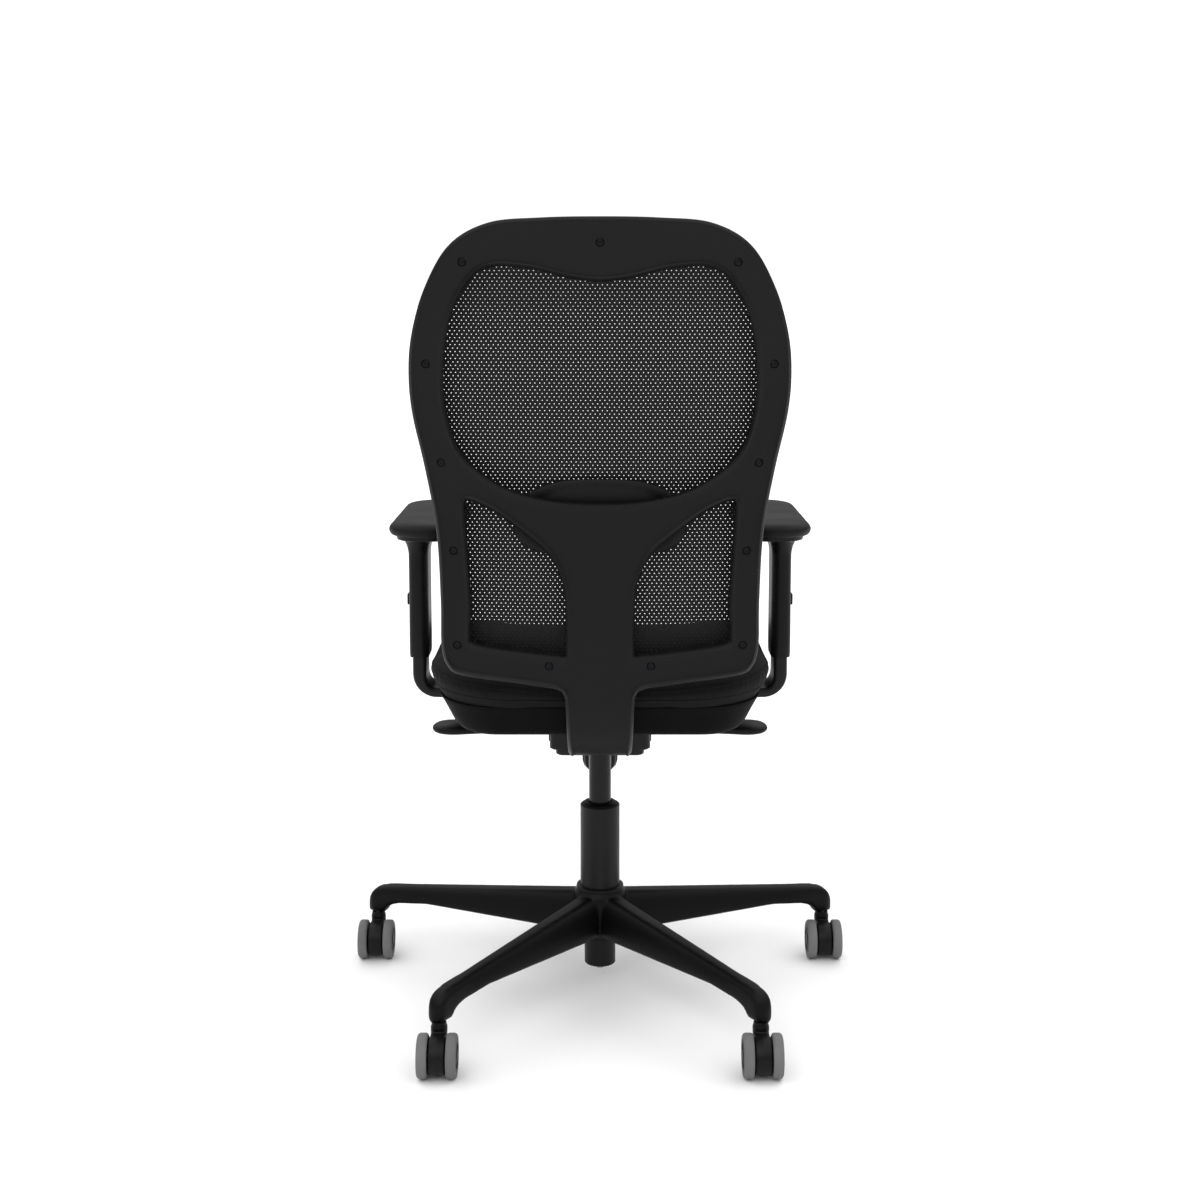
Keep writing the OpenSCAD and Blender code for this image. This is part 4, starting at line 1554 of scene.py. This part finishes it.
    def raised_sides(self, points: np.ndarray) -> np.ndarray:
        """Follows the cushion's dish along the shell's rim.

        Args:
            points: The shell's points.

        Returns:
            The moved points.
        """
        x, y, z = points.T
        foot = extent("seat_pan")[0][2]
        rim = ease(z, foot + 14, foot + 27)
        points[:, 2] = z + rim * (4.0 * (np.abs(x) / 208) ** 3 - 7 * ease(-y, 150.0, 262.0))
        return points

    def build(self) -> None:
        """Makes the shell and the cushion."""
        self.shell()
        self.cushion()


# ---------------------------------------------------------------- arms


@dataclass
class Arm:
    """A T arm: bracket from under the seat, sliding sleeve with a flared collar, pad and height button."""

    shop: Workshop
    side: Side
    sizes: dict[str, tuple[np.ndarray, np.ndarray]] = field(default_factory=dict)

    def __post_init__(self) -> None:
        """Reads the left arm's boxes; the right arm mirrors them."""
        self.label = self.side.name.lower()
        for name in ("arm_bracket", "arm_sleeve", "arm_pad", "arm_button", "arm_pad_plate"):
            self.sizes[name] = extent(f"{name}_left")

    def put(
        self, name: str, shape: Shape, slot: Slot, body: str, *nodes: str, angle: float = SMOOTH_ANGLE
    ) -> bpy.types.Object:
        """Places a left hand shape on this side.

        Args:
            name: The piece's name, without its side.
            shape: Its left hand shape.
            slot: The slot of its finish.
            body: The body that it rides on.
            *nodes: The nodes that it stands for, without their side.
            angle: Edges under this are shaded smooth.

        Returns:
            The finished piece.
        """
        full = [f"{n}_{self.label}" for n in nodes]
        flipped = shape.flipped(self.side)
        return self.shop.piece(f"{name}_{self.label}", flipped, slot, body, *full, angle=angle)

    def bracket(self) -> None:
        """The bent bracket from under the seat into the sleeve."""
        low, high = self.sizes["arm_bracket"]
        x1, foot, bend = high[0], low[2] + 6, 30.0
        leg = [
            (low[0] + 2, foot, 6), (low[0] + 48, foot, 6), (low[0] + 57, foot + 4, 6),
            (low[0] + 68, foot + 12, 6), (low[0] + 80, foot + 15, 6), (x1 - bend - 4, foot + 15, 6)
        ]
        turn = []
        for a in np.radians(np.linspace(-84, 0, 9)):
            half = 6 + 2.4 * ease(math.degrees(a), -84, 0)
            turn.append(
                (x1 - bend + (bend - half) * math.cos(a), foot + 39 + (bend - half) * math.sin(a), half)
            )
        post = [(x1 - 8.4, foot + 70, 8.4), (x1 - 8.4, foot + 120, 8.4), (x1 - 8.4, foot + 190, 8.4)]
        table = np.array(leg + turn + post)
        path = np.stack([table[:, 0], np.zeros(len(table)), table[:, 1]], axis=1)
        sections = [
            rounded_ring(24.5 - 1.3 * ease(z, foot + 20, foot + 60), half, 4.6, 6) for _, z, half in table
        ]
        post = Shape.sweep(path, (0, 1, 0), sections)
        self.put("arm_post", post, Slot.STEEL, "mechanism", "arm_bracket")

    def sleeve(self) -> None:
        """The sleeve with its flared collar, and the bezel round the button's hole."""
        low, high = self.sizes["arm_sleeve"]
        button = self.sizes["arm_button"]
        x0 = low[0] + 5
        outer = high[0] - 6
        mid, half, depth = (x0 + outer) / 2, (outer - x0) / 2, 27.0
        foot, top = low[2], high[2]
        rows = [
            (foot, half - 1.4, depth - 1.4, 9), (foot + 1.4, half, depth, 10), (foot + 60, half, depth, 10),
            (top - 34, half, depth, 10), (top - 22, half + 0.6, depth + 2, 11),
            (top - 13, half + 2.6, depth + 7, 13), (top - 6, half + 6, depth + 14, 16),
            (top - 1.5, half + 8.5, depth + 20, 18), (top + 0.5, half + 8.5, depth + 21, 18)
        ]
        table = curve_through(rows, 3)
        rings = [(z, rounded_ring(hx, hy, r)) for z, hx, hy, r in table]
        self.put(
            "arm_sleeve_shell", Shape.stack(rings, (mid, 0)), Slot.PLASTIC, f"arm_{self.label}",
            "arm_sleeve"
        )
        centre = (button[0][2] + button[1][2]) / 2
        rings = []
        for x, size, radius in (
            (outer - 1, 9.6, 3), (outer + 0.9, 9.4, 3), (outer + 1, 8, 2), (outer - 1, 7.8, 2)
        ):
            ring = rounded_ring(size, size, radius)
            rings.append(np.column_stack([np.full(len(ring), x), ring[:, 0], centre + ring[:, 1]]))
        self.put("arm_button_bezel", Shape.loft(rings), Slot.PLASTIC, f"arm_{self.label}")

    def pad(self) -> None:
        """The soft pad with a crowned top and its plate."""
        low, high = self.sizes["arm_pad"]
        mid = (low + high) / 2
        hx, hy = (high[0] - low[0]) / 2, (high[1] - low[1]) / 2
        foot, top = low[2], high[2]
        rows = [
            (foot, 7, 34), (foot + 1.5, 3, 36), (foot + 5, 0.5, 38), (foot + 9, 0, 38),
            (foot + 12.5, 1.6, 37), (foot + 15.6, 5, 35), (top - 0.5, 10.5, 31), (top + 0.5, 19, 24),
            (top + 0.9, 30, 14)
        ]
        table = curve_through(rows, 3)
        rings = [
            (z, rounded_ring(hx - inset, hy - inset, min(r, hx - inset - 0.5), 10)) for z, inset, r in table
        ]
        made = self.put(
            "arm_pad_cushion", Shape.stack(rings, mid[:2]), Slot.PAD, f"arm_{self.label}",
            "arm_pad", angle=math.radians(60)
        )
        low, high = self.sizes["arm_pad_plate"]
        hx, hy = (high[0] - low[0]) / 2, (high[1] - low[1]) / 2
        plate = Shape.stack(
            [
                (low[2] - 1.5, rounded_ring(hx - 1, hy - 1, 24)),
                (low[2] - 0.4, rounded_ring(hx + 2, hy + 2, 26)),
                (high[2], rounded_ring(hx + 3.4, hy + 3.4, 27))
            ],
            ((low[0] + high[0]) / 2, (low[1] + high[1]) / 2),
        )
        self.put("arm_pad_base", plate, Slot.PLASTIC, f"arm_{self.label}", "arm_pad_plate")

    def button(self) -> None:
        """The square height button with softened edges."""
        low, high = self.sizes["arm_button"]
        centre, half = (low[2] + high[2]) / 2, (high[2] - low[2]) / 2
        rows = [
            (low[0] + 0.3, half, 1.5), (high[0] - 1, half, 1.8), (high[0] - 0.2, half - 0.9, 1.6),
            (high[0], half - 2.2, 1.4), (high[0] - 0.5, half - 4.4, 1.2)
        ]
        rings = []
        for x, h, r in rows:
            ring = rounded_ring(h, h, r, 5)
            rings.append(np.column_stack([np.full(len(ring), x), ring[:, 0], centre + ring[:, 1]]))
        self.put(
            "arm_height_button", Shape.loft(rings), Slot.PLASTIC, f"button_{self.label}",
            "arm_button"
        )

    def build(self) -> None:
        """Makes the whole arm."""
        self.bracket()
        self.sleeve()
        self.pad()
        self.button()


# ---------------------------------------------------------------- back


@dataclass
class BackSurface:
    """The back's rear surface: a leaning side profile wrapped round the sitter."""

    frame_wrap: float = 915.0
    mesh_wrap: float = 1400.0
    origin_y: float = 215.0
    profile: tuple[tuple[float, float], ...] = (
        (395, 214.4), (430, 215), (645, 218), (720, 226), (793, 235), (900, 258), (970, 278)
    )

    def __post_init__(self) -> None:
        """Smooths the profile's bends over a short height."""
        given = np.array(self.profile, float)
        self.heights = np.arange(380.0, 1010.0, 2.0)
        rough = np.interp(self.heights, given[:, 0], given[:, 1])
        above = self.heights > given[-1, 0]
        slope = (given[-1, 1] - given[-2, 1]) / (given[-1, 0] - given[-2, 0])
        rough[above] = given[-1, 1] + slope * (self.heights[above] - given[-1, 0])
        width = 31
        padded = np.pad(rough, width // 2, mode="reflect", reflect_type="odd")
        self.depths = np.convolve(padded, np.ones(width) / width, mode="valid")

    def at(self, x: np.ndarray, z: np.ndarray, offset: float | np.ndarray, wrap: float) -> np.ndarray:
        """Distance behind the column of the surface moved by an offset.

        Args:
            x: Places across.
            z: Heights.
            offset: Steps behind the surface.
            wrap: Radius of the curve across.

        Returns:
            Places in Y.
        """
        axis = self.origin_y - wrap
        reach = np.interp(z, self.heights, self.depths) + offset - axis
        return axis + np.sqrt(np.maximum(reach**2 - x**2, 1))


@dataclass
class Back:
    """The one piece frame with its spine, the knitted mesh, its carrier, the screws and the lumbar pad."""

    shop: Workshop
    scatter: Scatter
    surface: BackSurface = field(default_factory=BackSurface)
    thickness: float = 12.0
    edge: float = 3.6
    rim: float = 1.7
    pitch: float = 5.4
    row: float = 3.9
    hole: float = 0.57
    spine: float = 40.0
    hook_radius: float = 75.0
    hook_y: float = 139.5
    mesh_foot: float = 429.0
    cloth_share: float = 0.945
    carrier_share: float = 0.955
    hem_share: float = 0.958
    cloth_depth: float = 26.6

    def __post_init__(self) -> None:
        """Reads the frame's size and sets the outlines."""
        low, high = extent("back_frame")
        self.half = (high[0] - low[0]) / 2
        self.top = high[2]
        self.hook_z = low[2] + self.hook_radius
        t, h, s = self.top, self.half, self.spine
        outer = [
            (0, t), (0.3, t - 1.2), (0.565, t - 6.5), (0.766, t - 30), (0.90, t - 76), (0.977, t - 127),
            (1, t - 172), (0.985, 744), (0.925, 683), (0.868, 610), (0.850, 530), (0.848, 478), (0.815, 454),
            (0.735, 444), (0.45, 437), (0.245, 431.5)
        ]
        right = half_curve([(x * h, z) for x, z in outer], 8, False)
        foot = self.hook_z - self.hook_radius * math.pi / 2
        spine = np.array(
            [(s + 3.5, 428), (s, 421), (s - 1.2, 400), (s - 2.5, 360), (s - 4, foot + 6), (s - 8, foot)]
        )
        side = np.vstack([right, spine])
        self.outline = np.vstack([side, side[::-1] * (-1, 1)])[:-1]
        self.plain = self.mirrored(half_curve([(x * h, z) for x, z in outer] + [(0, self.mesh_foot)]))
        upper = [
            (0, t - 70), (0.16, t - 66), (0.36, t - 56), (0.56, t - 54.5), (0.68, t - 72), (0.775, t - 112),
            (0.815, t - 171), (0.80, 744), (0.725, 700), (0.58, 672), (0.42, 656), (0.21, 647), (0, 645)
        ]
        self.upper = self.mirrored(half_curve([(x * h, z) for x, z in upper]))
        lower = [
            (s, 474), (s, 536), (s + 7, 566), (s + 21, 589), (s + 50, 613), (0.56 * h, 634), (0.69 * h, 646),
            (0.713 * h, 640), (0.70 * h, 590), (0.685 * h, 530), (0.69 * h, 492), (0.655 * h, 481),
            (0.40 * h, 474), (s + 6, 470)
        ]
        self.lower = curve_through(lower, 6, closed=True)
        self.screws = [
            (0, t - 27), (0.70 * h, t - 48), (0.905 * h, t - 160), (0.835 * h, 690), (0.775 * h, 589),
            (0.76 * h, 480), (0.27 * h, 458)
        ]

    @staticmethod
    def mirrored(side: np.ndarray) -> np.ndarray:
        """A closed outline from its right half.

        Args:
            side: The right half, from foot to top.

        Returns:
            The whole outline.
        """
        return np.vstack([side, side[-2:0:-1] * (-1, 1)])

    def screw_spots(self) -> np.ndarray:
        """All screw places in X and Z.

        Returns:
            The places, one a row.
        """
        return np.array([(s * x, z) for x, z in self.screws for s in (1, -1) if s > 0 or x > 0])

    @staticmethod
    def inside(points: np.ndarray, outline: np.ndarray) -> np.ndarray:
        """Which points lie inside an outline.

        Args:
            points: The points.
            outline: The outline.

        Returns:
            True for each point inside.
        """
        a, b = outline, np.roll(outline, -1, axis=0)
        x, z = points[:, :1], points[:, 1:2]
        cross = (a[:, 1] > z) != (b[:, 1] > z)
        with np.errstate(divide="ignore", invalid="ignore"):
            at = a[:, 0] + (z - a[:, 1]) * (b[:, 0] - a[:, 0]) / (b[:, 1] - a[:, 1])
        return (np.sum(cross & (x < at), axis=1) % 2) == 1

    @staticmethod
    def gap_to(points: np.ndarray, others: np.ndarray) -> np.ndarray:
        """Distance from each point to the nearest of the others.

        Args:
            points: The points.
            others: The points to measure to.

        Returns:
            The distances.
        """
        out = np.full(len(points), 1e9)
        for start in range(0, len(others), 400):
            block = others[start : start + 400]
            out = np.minimum(out, np.sqrt(((points[:, None] - block[None]) ** 2).sum(-1)).min(1))
        return out

    def panel(self) -> tuple[np.ndarray, list[tuple[int, int, int]], np.ndarray, np.ndarray]:
        """Triangulates the frame's face.

        Returns:
            The flat points, their triangles, each point's distance to the edges and to the screws.
        """
        contours = [evenly(c, 3.6) for c in (self.outline, self.upper, self.lower, self.lower * (-1, 1))]
        fine = np.vstack([evenly(c, 0.6) for c in contours])
        holes = contours[1:]
        keep = lambda pts: self.inside(pts, contours[0]) & ~np.any(
            [self.inside(pts, c) for c in holes], axis=0
        )
        spots = self.screw_spots()
        extra = []
        for contour in contours:
            along = np.roll(contour, -1, axis=0) - np.roll(contour, 1, axis=0)
            normal = np.stack([-along[:, 1], along[:, 0]], axis=1) / np.linalg.norm(along, axis=1)[:, None]
            for reach in (0.55, 1.3, 2.4, 3.8, 5.4, 8.0, 12.0):
                for sign in (1, -1):
                    moved = contour + sign * reach * normal
                    moved = moved[keep(moved)]
                    if len(moved):
                        extra.append(moved[self.gap_to(moved, fine) > 0.94 * reach])
        xs, zs = np.meshgrid(np.arange(-220, 221, 8.0), np.arange(280, 965, 7.0))
        grid = np.stack([(xs + (np.arange(len(xs)) % 2)[:, None] * 4).ravel(), zs.ravel()], axis=1)
        grid = grid[keep(grid)]
        extra.append(grid[self.gap_to(grid, fine) > 14.5])
        loose = np.vstack(extra)
        loose = loose[self.gap_to(loose, spots) > 8.2]
        a = np.linspace(0, 2 * np.pi, 20, endpoint=False)
        circle = np.stack([np.cos(a), np.sin(a)], axis=1)
        discs = [spots] + [c + r * circle for c in spots for r in (4.2, 4.7, 5.3, 6.8)]
        points = np.vstack([*contours, loose, *discs])
        edges, start = [], 0
        for contour in contours:
            n = len(contour)
            edges += [(start + i, start + (i + 1) % n) for i in range(n)]
            start += n
        flat, _, faces, *_ = geometry.delaunay_2d_cdt([Vector(p) for p in points], edges, [], 0, 1e-5)
        flat = np.array([tuple(p) for p in flat])
        faces = np.array([f for f in faces if len(f) == 3])
        faces = faces[keep(flat[faces].mean(1))]
        triangles = [tuple(int(i) for i in f) for f in faces]
        return flat, triangles, self.gap_to(flat, fine), self.gap_to(flat, spots)

    def lay(self, flat: np.ndarray, offset: np.ndarray) -> np.ndarray:
        """Puts flat points on the wrapped surface, and past its foot round the hook.

        Args:
            flat: Points in X and Z with their depth.
            offset: Steps behind the surface.

        Returns:
            The laid points.
        """
        x, v = flat.T
        y = self.surface.at(x, np.maximum(v, self.hook_z), offset, self.surface.frame_wrap)
        out = np.stack([x, y, v], axis=1)
        hook = v < self.hook_z + 24
        angle = np.maximum(self.hook_z - v, 0) / self.hook_radius
        radius = self.hook_radius + offset
        level = np.full(len(x), self.hook_z)
        wrapped = self.surface.at(x, level, 0.0, self.surface.frame_wrap)
        sag = wrapped - self.surface.at(0 * x, level, 0.0, self.surface.frame_wrap)
        depth = self.hook_y + radius * np.cos(angle) + sag * np.cos(angle)
        height = np.where(v < self.hook_z, self.hook_z - radius * np.sin(angle), v)
        bent = np.stack([x, depth, height], axis=1)
        mix = ease(v, self.hook_z, self.hook_z + 24)[:, None]
        out[hook] = (out * mix + bent * (1 - mix))[hook]
        return out

    def frame_shell(self) -> None:
        """The frame with rounded edges, raised rims, screw seats and the hooked spine."""
        flat, faces, gap, screw = self.panel()
        turn = np.sqrt(np.maximum(self.edge**2 - np.maximum(self.edge - gap, 0) ** 2, 0)) - self.edge
        lip = self.rim * np.exp(-(((gap - 3.8) / 1.5) ** 2))
        seat = -1.5 * (1 - ease(screw, 4.2, 5.2)) + 0.12 * np.exp(-(((screw - 6.0) / 0.9) ** 2))
        rear = self.lay(flat, turn + lip + seat)
        front = self.lay(flat, -self.thickness - turn)
        n = len(flat)
        seen = dict.fromkeys(e for a, b, c in faces for e in ((a, b), (b, c), (c, a)))
        rim = [(a, b) for a, b in seen if (b, a) not in seen]
        skin = [*faces, *((c + n, b + n, a + n) for a, b, c in faces)]
        skin += [(b, a, a + n, b + n) for a, b in rim]
        self.shop.piece(
            "back_frame_shell", Shape(np.vstack([rear, front]), skin), Slot.PLASTIC, "back", "back_frame",
            angle=math.radians(55)
        )

    def shrunk(self, share: float) -> np.ndarray:
        """The plain outline drawn in about its middle.

        Args:
            share: Share of its size that is kept.

        Returns:
            The smaller outline.
        """
        middle = (self.top + self.mesh_foot) / 2
        return np.stack([self.plain[:, 0] * share, middle + (self.plain[:, 1] - middle) * share], axis=1)

    def knit(self) -> None:
        """The open knit: one six sided stitch per hole, wrapped on the mesh's own curve."""
        border = self.shrunk(self.cloth_share)
        px, pz = self.pitch, self.row
        rows = np.arange(440.0, self.top, pz)
        cells = np.array(
            [(x + (j % 2) * px / 2, z) for j, z in enumerate(rows) for x in np.arange(-37, 38) * px]
        )
        cells = cells[self.inside(cells, border)]
        corner = [
            (0, 2 / 3 * pz), (-px / 2, pz / 3), (-px / 2, -pz / 3), (0, -2 / 3 * pz), (px / 2, -pz / 3),
            (px / 2, pz / 3)
        ]
        angles = [math.atan2(z, x) for x, z in corner]
        outer = np.array([(x, 0.0, z) for x, z in corner])
        inner = np.array([(1.08 * self.hole * math.cos(a), 0.22, self.hole * math.sin(a)) for a in angles])
        item = Shape(np.vstack([outer, inner]), [(i, (i + 1) % 6, 6 + (i + 1) % 6, 6 + i) for i in range(6)])
        places = np.stack([cells[:, 0], np.zeros(len(cells)), cells[:, 1]], axis=1)
        made = self.scatter.spread(
            self.shop, "back_mesh_knit", item, places, np.zeros((len(cells), 3)), self.shop.paints[Slot.MESH],
            0.02
        )
        warp(made, self.on_mesh)
        self.shop.finish(made, Slot.MESH, "back", "back_mesh", angle=math.radians(180))
        cell_area = px * pz - 0.5 * 6 * self.hole**2 * 1.08 * math.sin(math.pi / 3)
        cloth = len(cells) * cell_area * MM * MM
        width = 2 * self.half * self.cloth_share * MM
        height = (self.top - self.mesh_foot) * self.cloth_share * MM
        LOG.info("knit: %d stitches, %.3f square metres of cloth", len(cells), cloth)

    def on_mesh(self, points: np.ndarray) -> np.ndarray:
        """Wraps flat points on the mesh's curve, keeping their own depth.

        Args:
            points: Flat points with their depth.

        Returns:
            The wrapped points.
        """
        wrapped = self.surface.at(points[:, 0], points[:, 2], -self.cloth_depth, self.surface.mesh_wrap)
        points[:, 1] = wrapped + points[:, 1]
        return points

    def hem(self) -> None:
        """The woven hem band that grips the knit's edge, and its outer bead."""
        outer = evenly(self.shrunk(self.hem_share), 6.0)
        middle = np.array([0, (self.top + self.mesh_foot) / 2])
        share = [1.0, 0.9985, 0.99, 0.955, 0.93, 0.925, 0.93, 0.955, 0.99]
        depth = [-27.2, -28.4, -29.0, -28.9, -28.4, -27.4, -26.9, -26.9, -26.6]
        rings = []
        for s, d in zip(share, depth):
            flat = middle + (outer - middle) * s
            y = self.surface.at(flat[:, 0], flat[:, 1], d, self.surface.mesh_wrap)
            rings.append(np.stack([flat[:, 0], y, flat[:, 1]], axis=1))
        self.shop.piece(
            "back_mesh_hem", Shape.loft(rings, closed=True), Slot.MESH, "back", angle=math.radians(60)
        )

    def carrier(self) -> None:
        """The moulded carrier ring between the frame and the mesh."""
        outer = evenly(self.shrunk(self.carrier_share), 5.0)
        middle = np.array([0, (self.top + self.mesh_foot) / 2])
        inner = middle + (outer - middle) * 0.90
        rings = []
        for flat, on_frame in ((outer, True), (outer, False), (inner, False), (inner, True)):
            if on_frame:
                y = self.surface.at(flat[:, 0], flat[:, 1], -self.thickness - 0.4, self.surface.frame_wrap)
            else:
                y = self.surface.at(flat[:, 0], flat[:, 1], -26.0, self.surface.mesh_wrap)
            rings.append(np.stack([flat[:, 0], y, flat[:, 1]], axis=1))
        self.shop.piece(
            "mesh_carrier_ring", Shape.loft(rings, closed=True), Slot.PLASTIC, "back", "mesh_carrier",
            angle=math.radians(30)
        )

    def screw_set(self) -> None:
        """Thirteen recessed screws on the frame's rear face."""
        spots = self.screw_spots()
        y = self.surface.at(spots[:, 0], spots[:, 1], -1.5, self.surface.frame_wrap)
        places = np.stack([spots[:, 0], y, spots[:, 1]], axis=1)
        turns = np.tile((-math.pi / 2, 0, 0), (len(places), 1))
        made = self.scatter.spread(
            self.shop, "back_frame_screws", screw_item(3.9), places, turns, self.shop.paints[Slot.SCREW]
        )
        self.shop.finish(made, Slot.SCREW, "back", "back_screws")

    def lumbar(self) -> None:
        """The lumbar pad with a rolled rim and a raised oval face."""
        low, high = extent("lumbar_pad")
        half_x, half_z = (high[0] - low[0]) / 2, (high[2] - low[2]) / 2
        mid_z = (low[2] + high[2]) / 2
        rows = [
            (0.02, 1.4), (0.5, 1.3), (0.74, 0.9), (0.80, -0.2), (0.86, 0.9), (0.93, 1.2), (0.98, 0.4),
            (1.0, -1.6), (0.97, -3.6), (0.9, -4.6), (0.5, -4.8), (0.02, -4.8)
        ]
        a = np.linspace(0, 2 * np.pi, 72, endpoint=False)
        c, s = np.cos(a), np.sin(a)
        base = np.stack([np.sign(c) * np.abs(c) ** 0.72, np.sign(s) * np.abs(s) ** 0.72], axis=1)
        rings = []
        for share, offset in rows:
            x = base[:, 0] * half_x * share * (1 - 0.10 * base[:, 1] * share)
            z = mid_z + base[:, 1] * half_z * share
            y = self.surface.at(x, z, -17.8 + offset, self.surface.mesh_wrap)
            rings.append(np.stack([x, y, z], axis=1))
        made = self.shop.piece(
            "lumbar_pad_cushion", Shape.loft(rings), Slot.PAD, "lumbar", "lumbar_pad", angle=math.radians(70)
        )

    def build(self) -> None:
        """Makes the whole back."""
        self.frame_shell()
        self.carrier()
        self.knit()
        self.hem()
        self.screw_set()
        self.lumbar()


# ---------------------------------------------------------------- studio


@dataclass
class Studio:
    """A pale floor, a white surround, soft light from above and the camera behind the chair."""

    scene: bpy.types.Scene
    lens: float = 51.708
    place: tuple[float, float, float] = (0.0, 2.1337, 0.8915)
    pitch: float = 83.45
    drop: float = -0.10
    level: float = 0.3
    overhead: float = 1.75
    edge_light: float = 0.4

    def floor(self) -> None:
        """A wide pale floor."""
        mesh = bpy.data.meshes.new("studio_floor")
        reach = 60.0
        corners = [(-reach, -reach, 0), (reach, -reach, 0), (reach, reach, 0), (-reach, reach, 0)]
        mesh.from_pydata(corners, [], [(0, 1, 2, 3)])
        made = bpy.data.objects.new("studio_floor", mesh)
        self.scene.collection.objects.link(made)
        paint = Paint("studio_floor_paint", (0.93, 0.93, 0.93), 0.85, 0.0)
        mesh.materials.append(paint.material)

    def surround(self) -> None:
        """A white surround that lights the chair more gently than it looks."""
        world = bpy.data.worlds.new("studio_surround")
        self.scene.world = world
        world.use_nodes = True
        tree = world.node_tree
        tree.nodes.clear()
        output = tree.nodes.new("ShaderNodeOutputWorld")
        seen, lit = tree.nodes.new("ShaderNodeBackground"), tree.nodes.new("ShaderNodeBackground")
        seen.inputs["Color"].default_value = (1, 1, 1, 1)
        seen.inputs["Strength"].default_value = 1.05
        lit.inputs["Color"].default_value = (1, 1, 1, 1)
        place, parts, rise = (
            tree.nodes.new(f"ShaderNode{kind}") for kind in ("TexCoord", "SeparateXYZ", "MapRange")
        )
        rise.interpolation_type = "SMOOTHSTEP"
        for socket, given in zip(list(rise.inputs)[1:5], (0.2, 0.75, self.level, self.overhead)):
            socket.default_value = given
        tree.links.new(place.outputs["Generated"], parts.inputs[0])
        tree.links.new(parts.outputs["Z"], rise.inputs[0])
        tree.links.new(rise.outputs[0], lit.inputs["Strength"])
        rays, mix = tree.nodes.new("ShaderNodeLightPath"), tree.nodes.new("ShaderNodeMixShader")
        tree.links.new(rays.outputs["Is Camera Ray"], mix.inputs[0])
        tree.links.new(lit.outputs[0], mix.inputs[1])
        tree.links.new(seen.outputs[0], mix.inputs[2])
        tree.links.new(mix.outputs[0], output.inputs["Surface"])

    def lamps(self) -> None:
        """A soft distant light behind and above the chair that shapes its edges."""
        data = bpy.data.lights.new("rear_light", "SUN")
        data.energy = self.edge_light
        data.angle = math.radians(35)
        made = bpy.data.objects.new("rear_light", data)
        made.rotation_euler = (-0.85, 0.35, 0)
        self.scene.collection.objects.link(made)

    def camera(self) -> None:
        """The camera behind the chair."""
        data = bpy.data.cameras.new("camera_behind")
        data.lens = self.lens
        data.sensor_width = 36.0
        data.shift_y = self.drop
        data.clip_end = 200
        made = bpy.data.objects.new("camera_behind", data)
        made.location = self.place
        made.rotation_euler = (math.radians(self.pitch), 0, math.pi)
        self.scene.collection.objects.link(made)
        self.scene.camera = made

    def build(self) -> None:
        """Sets the stage."""
        self.floor()
        self.surround()
        self.lamps()
        self.camera()
        self.scene.view_settings.view_transform = "Standard"


def main() -> None:
    """Builds the chair round its frame."""
    logging.basicConfig(level=logging.INFO, format="%(name)s %(message)s")
    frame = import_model()
    shop = Workshop(frame)
    shop.repaint_frame()
    Studio(shop.scene).build()
    scatter = Scatter()
    StarBase(shop).build()
    for number in range(1, 6):
        Caster(shop, number).build()
    GasLift(shop).build()
    Mechanism(shop, scatter).build()
    Back(shop, scatter).build()
    for side in Side:
        Arm(shop, side).build()
    Seat(shop, scatter).build()
    LOG.info("%d pieces", shop.count)


if __name__ == "__main__":
    main()
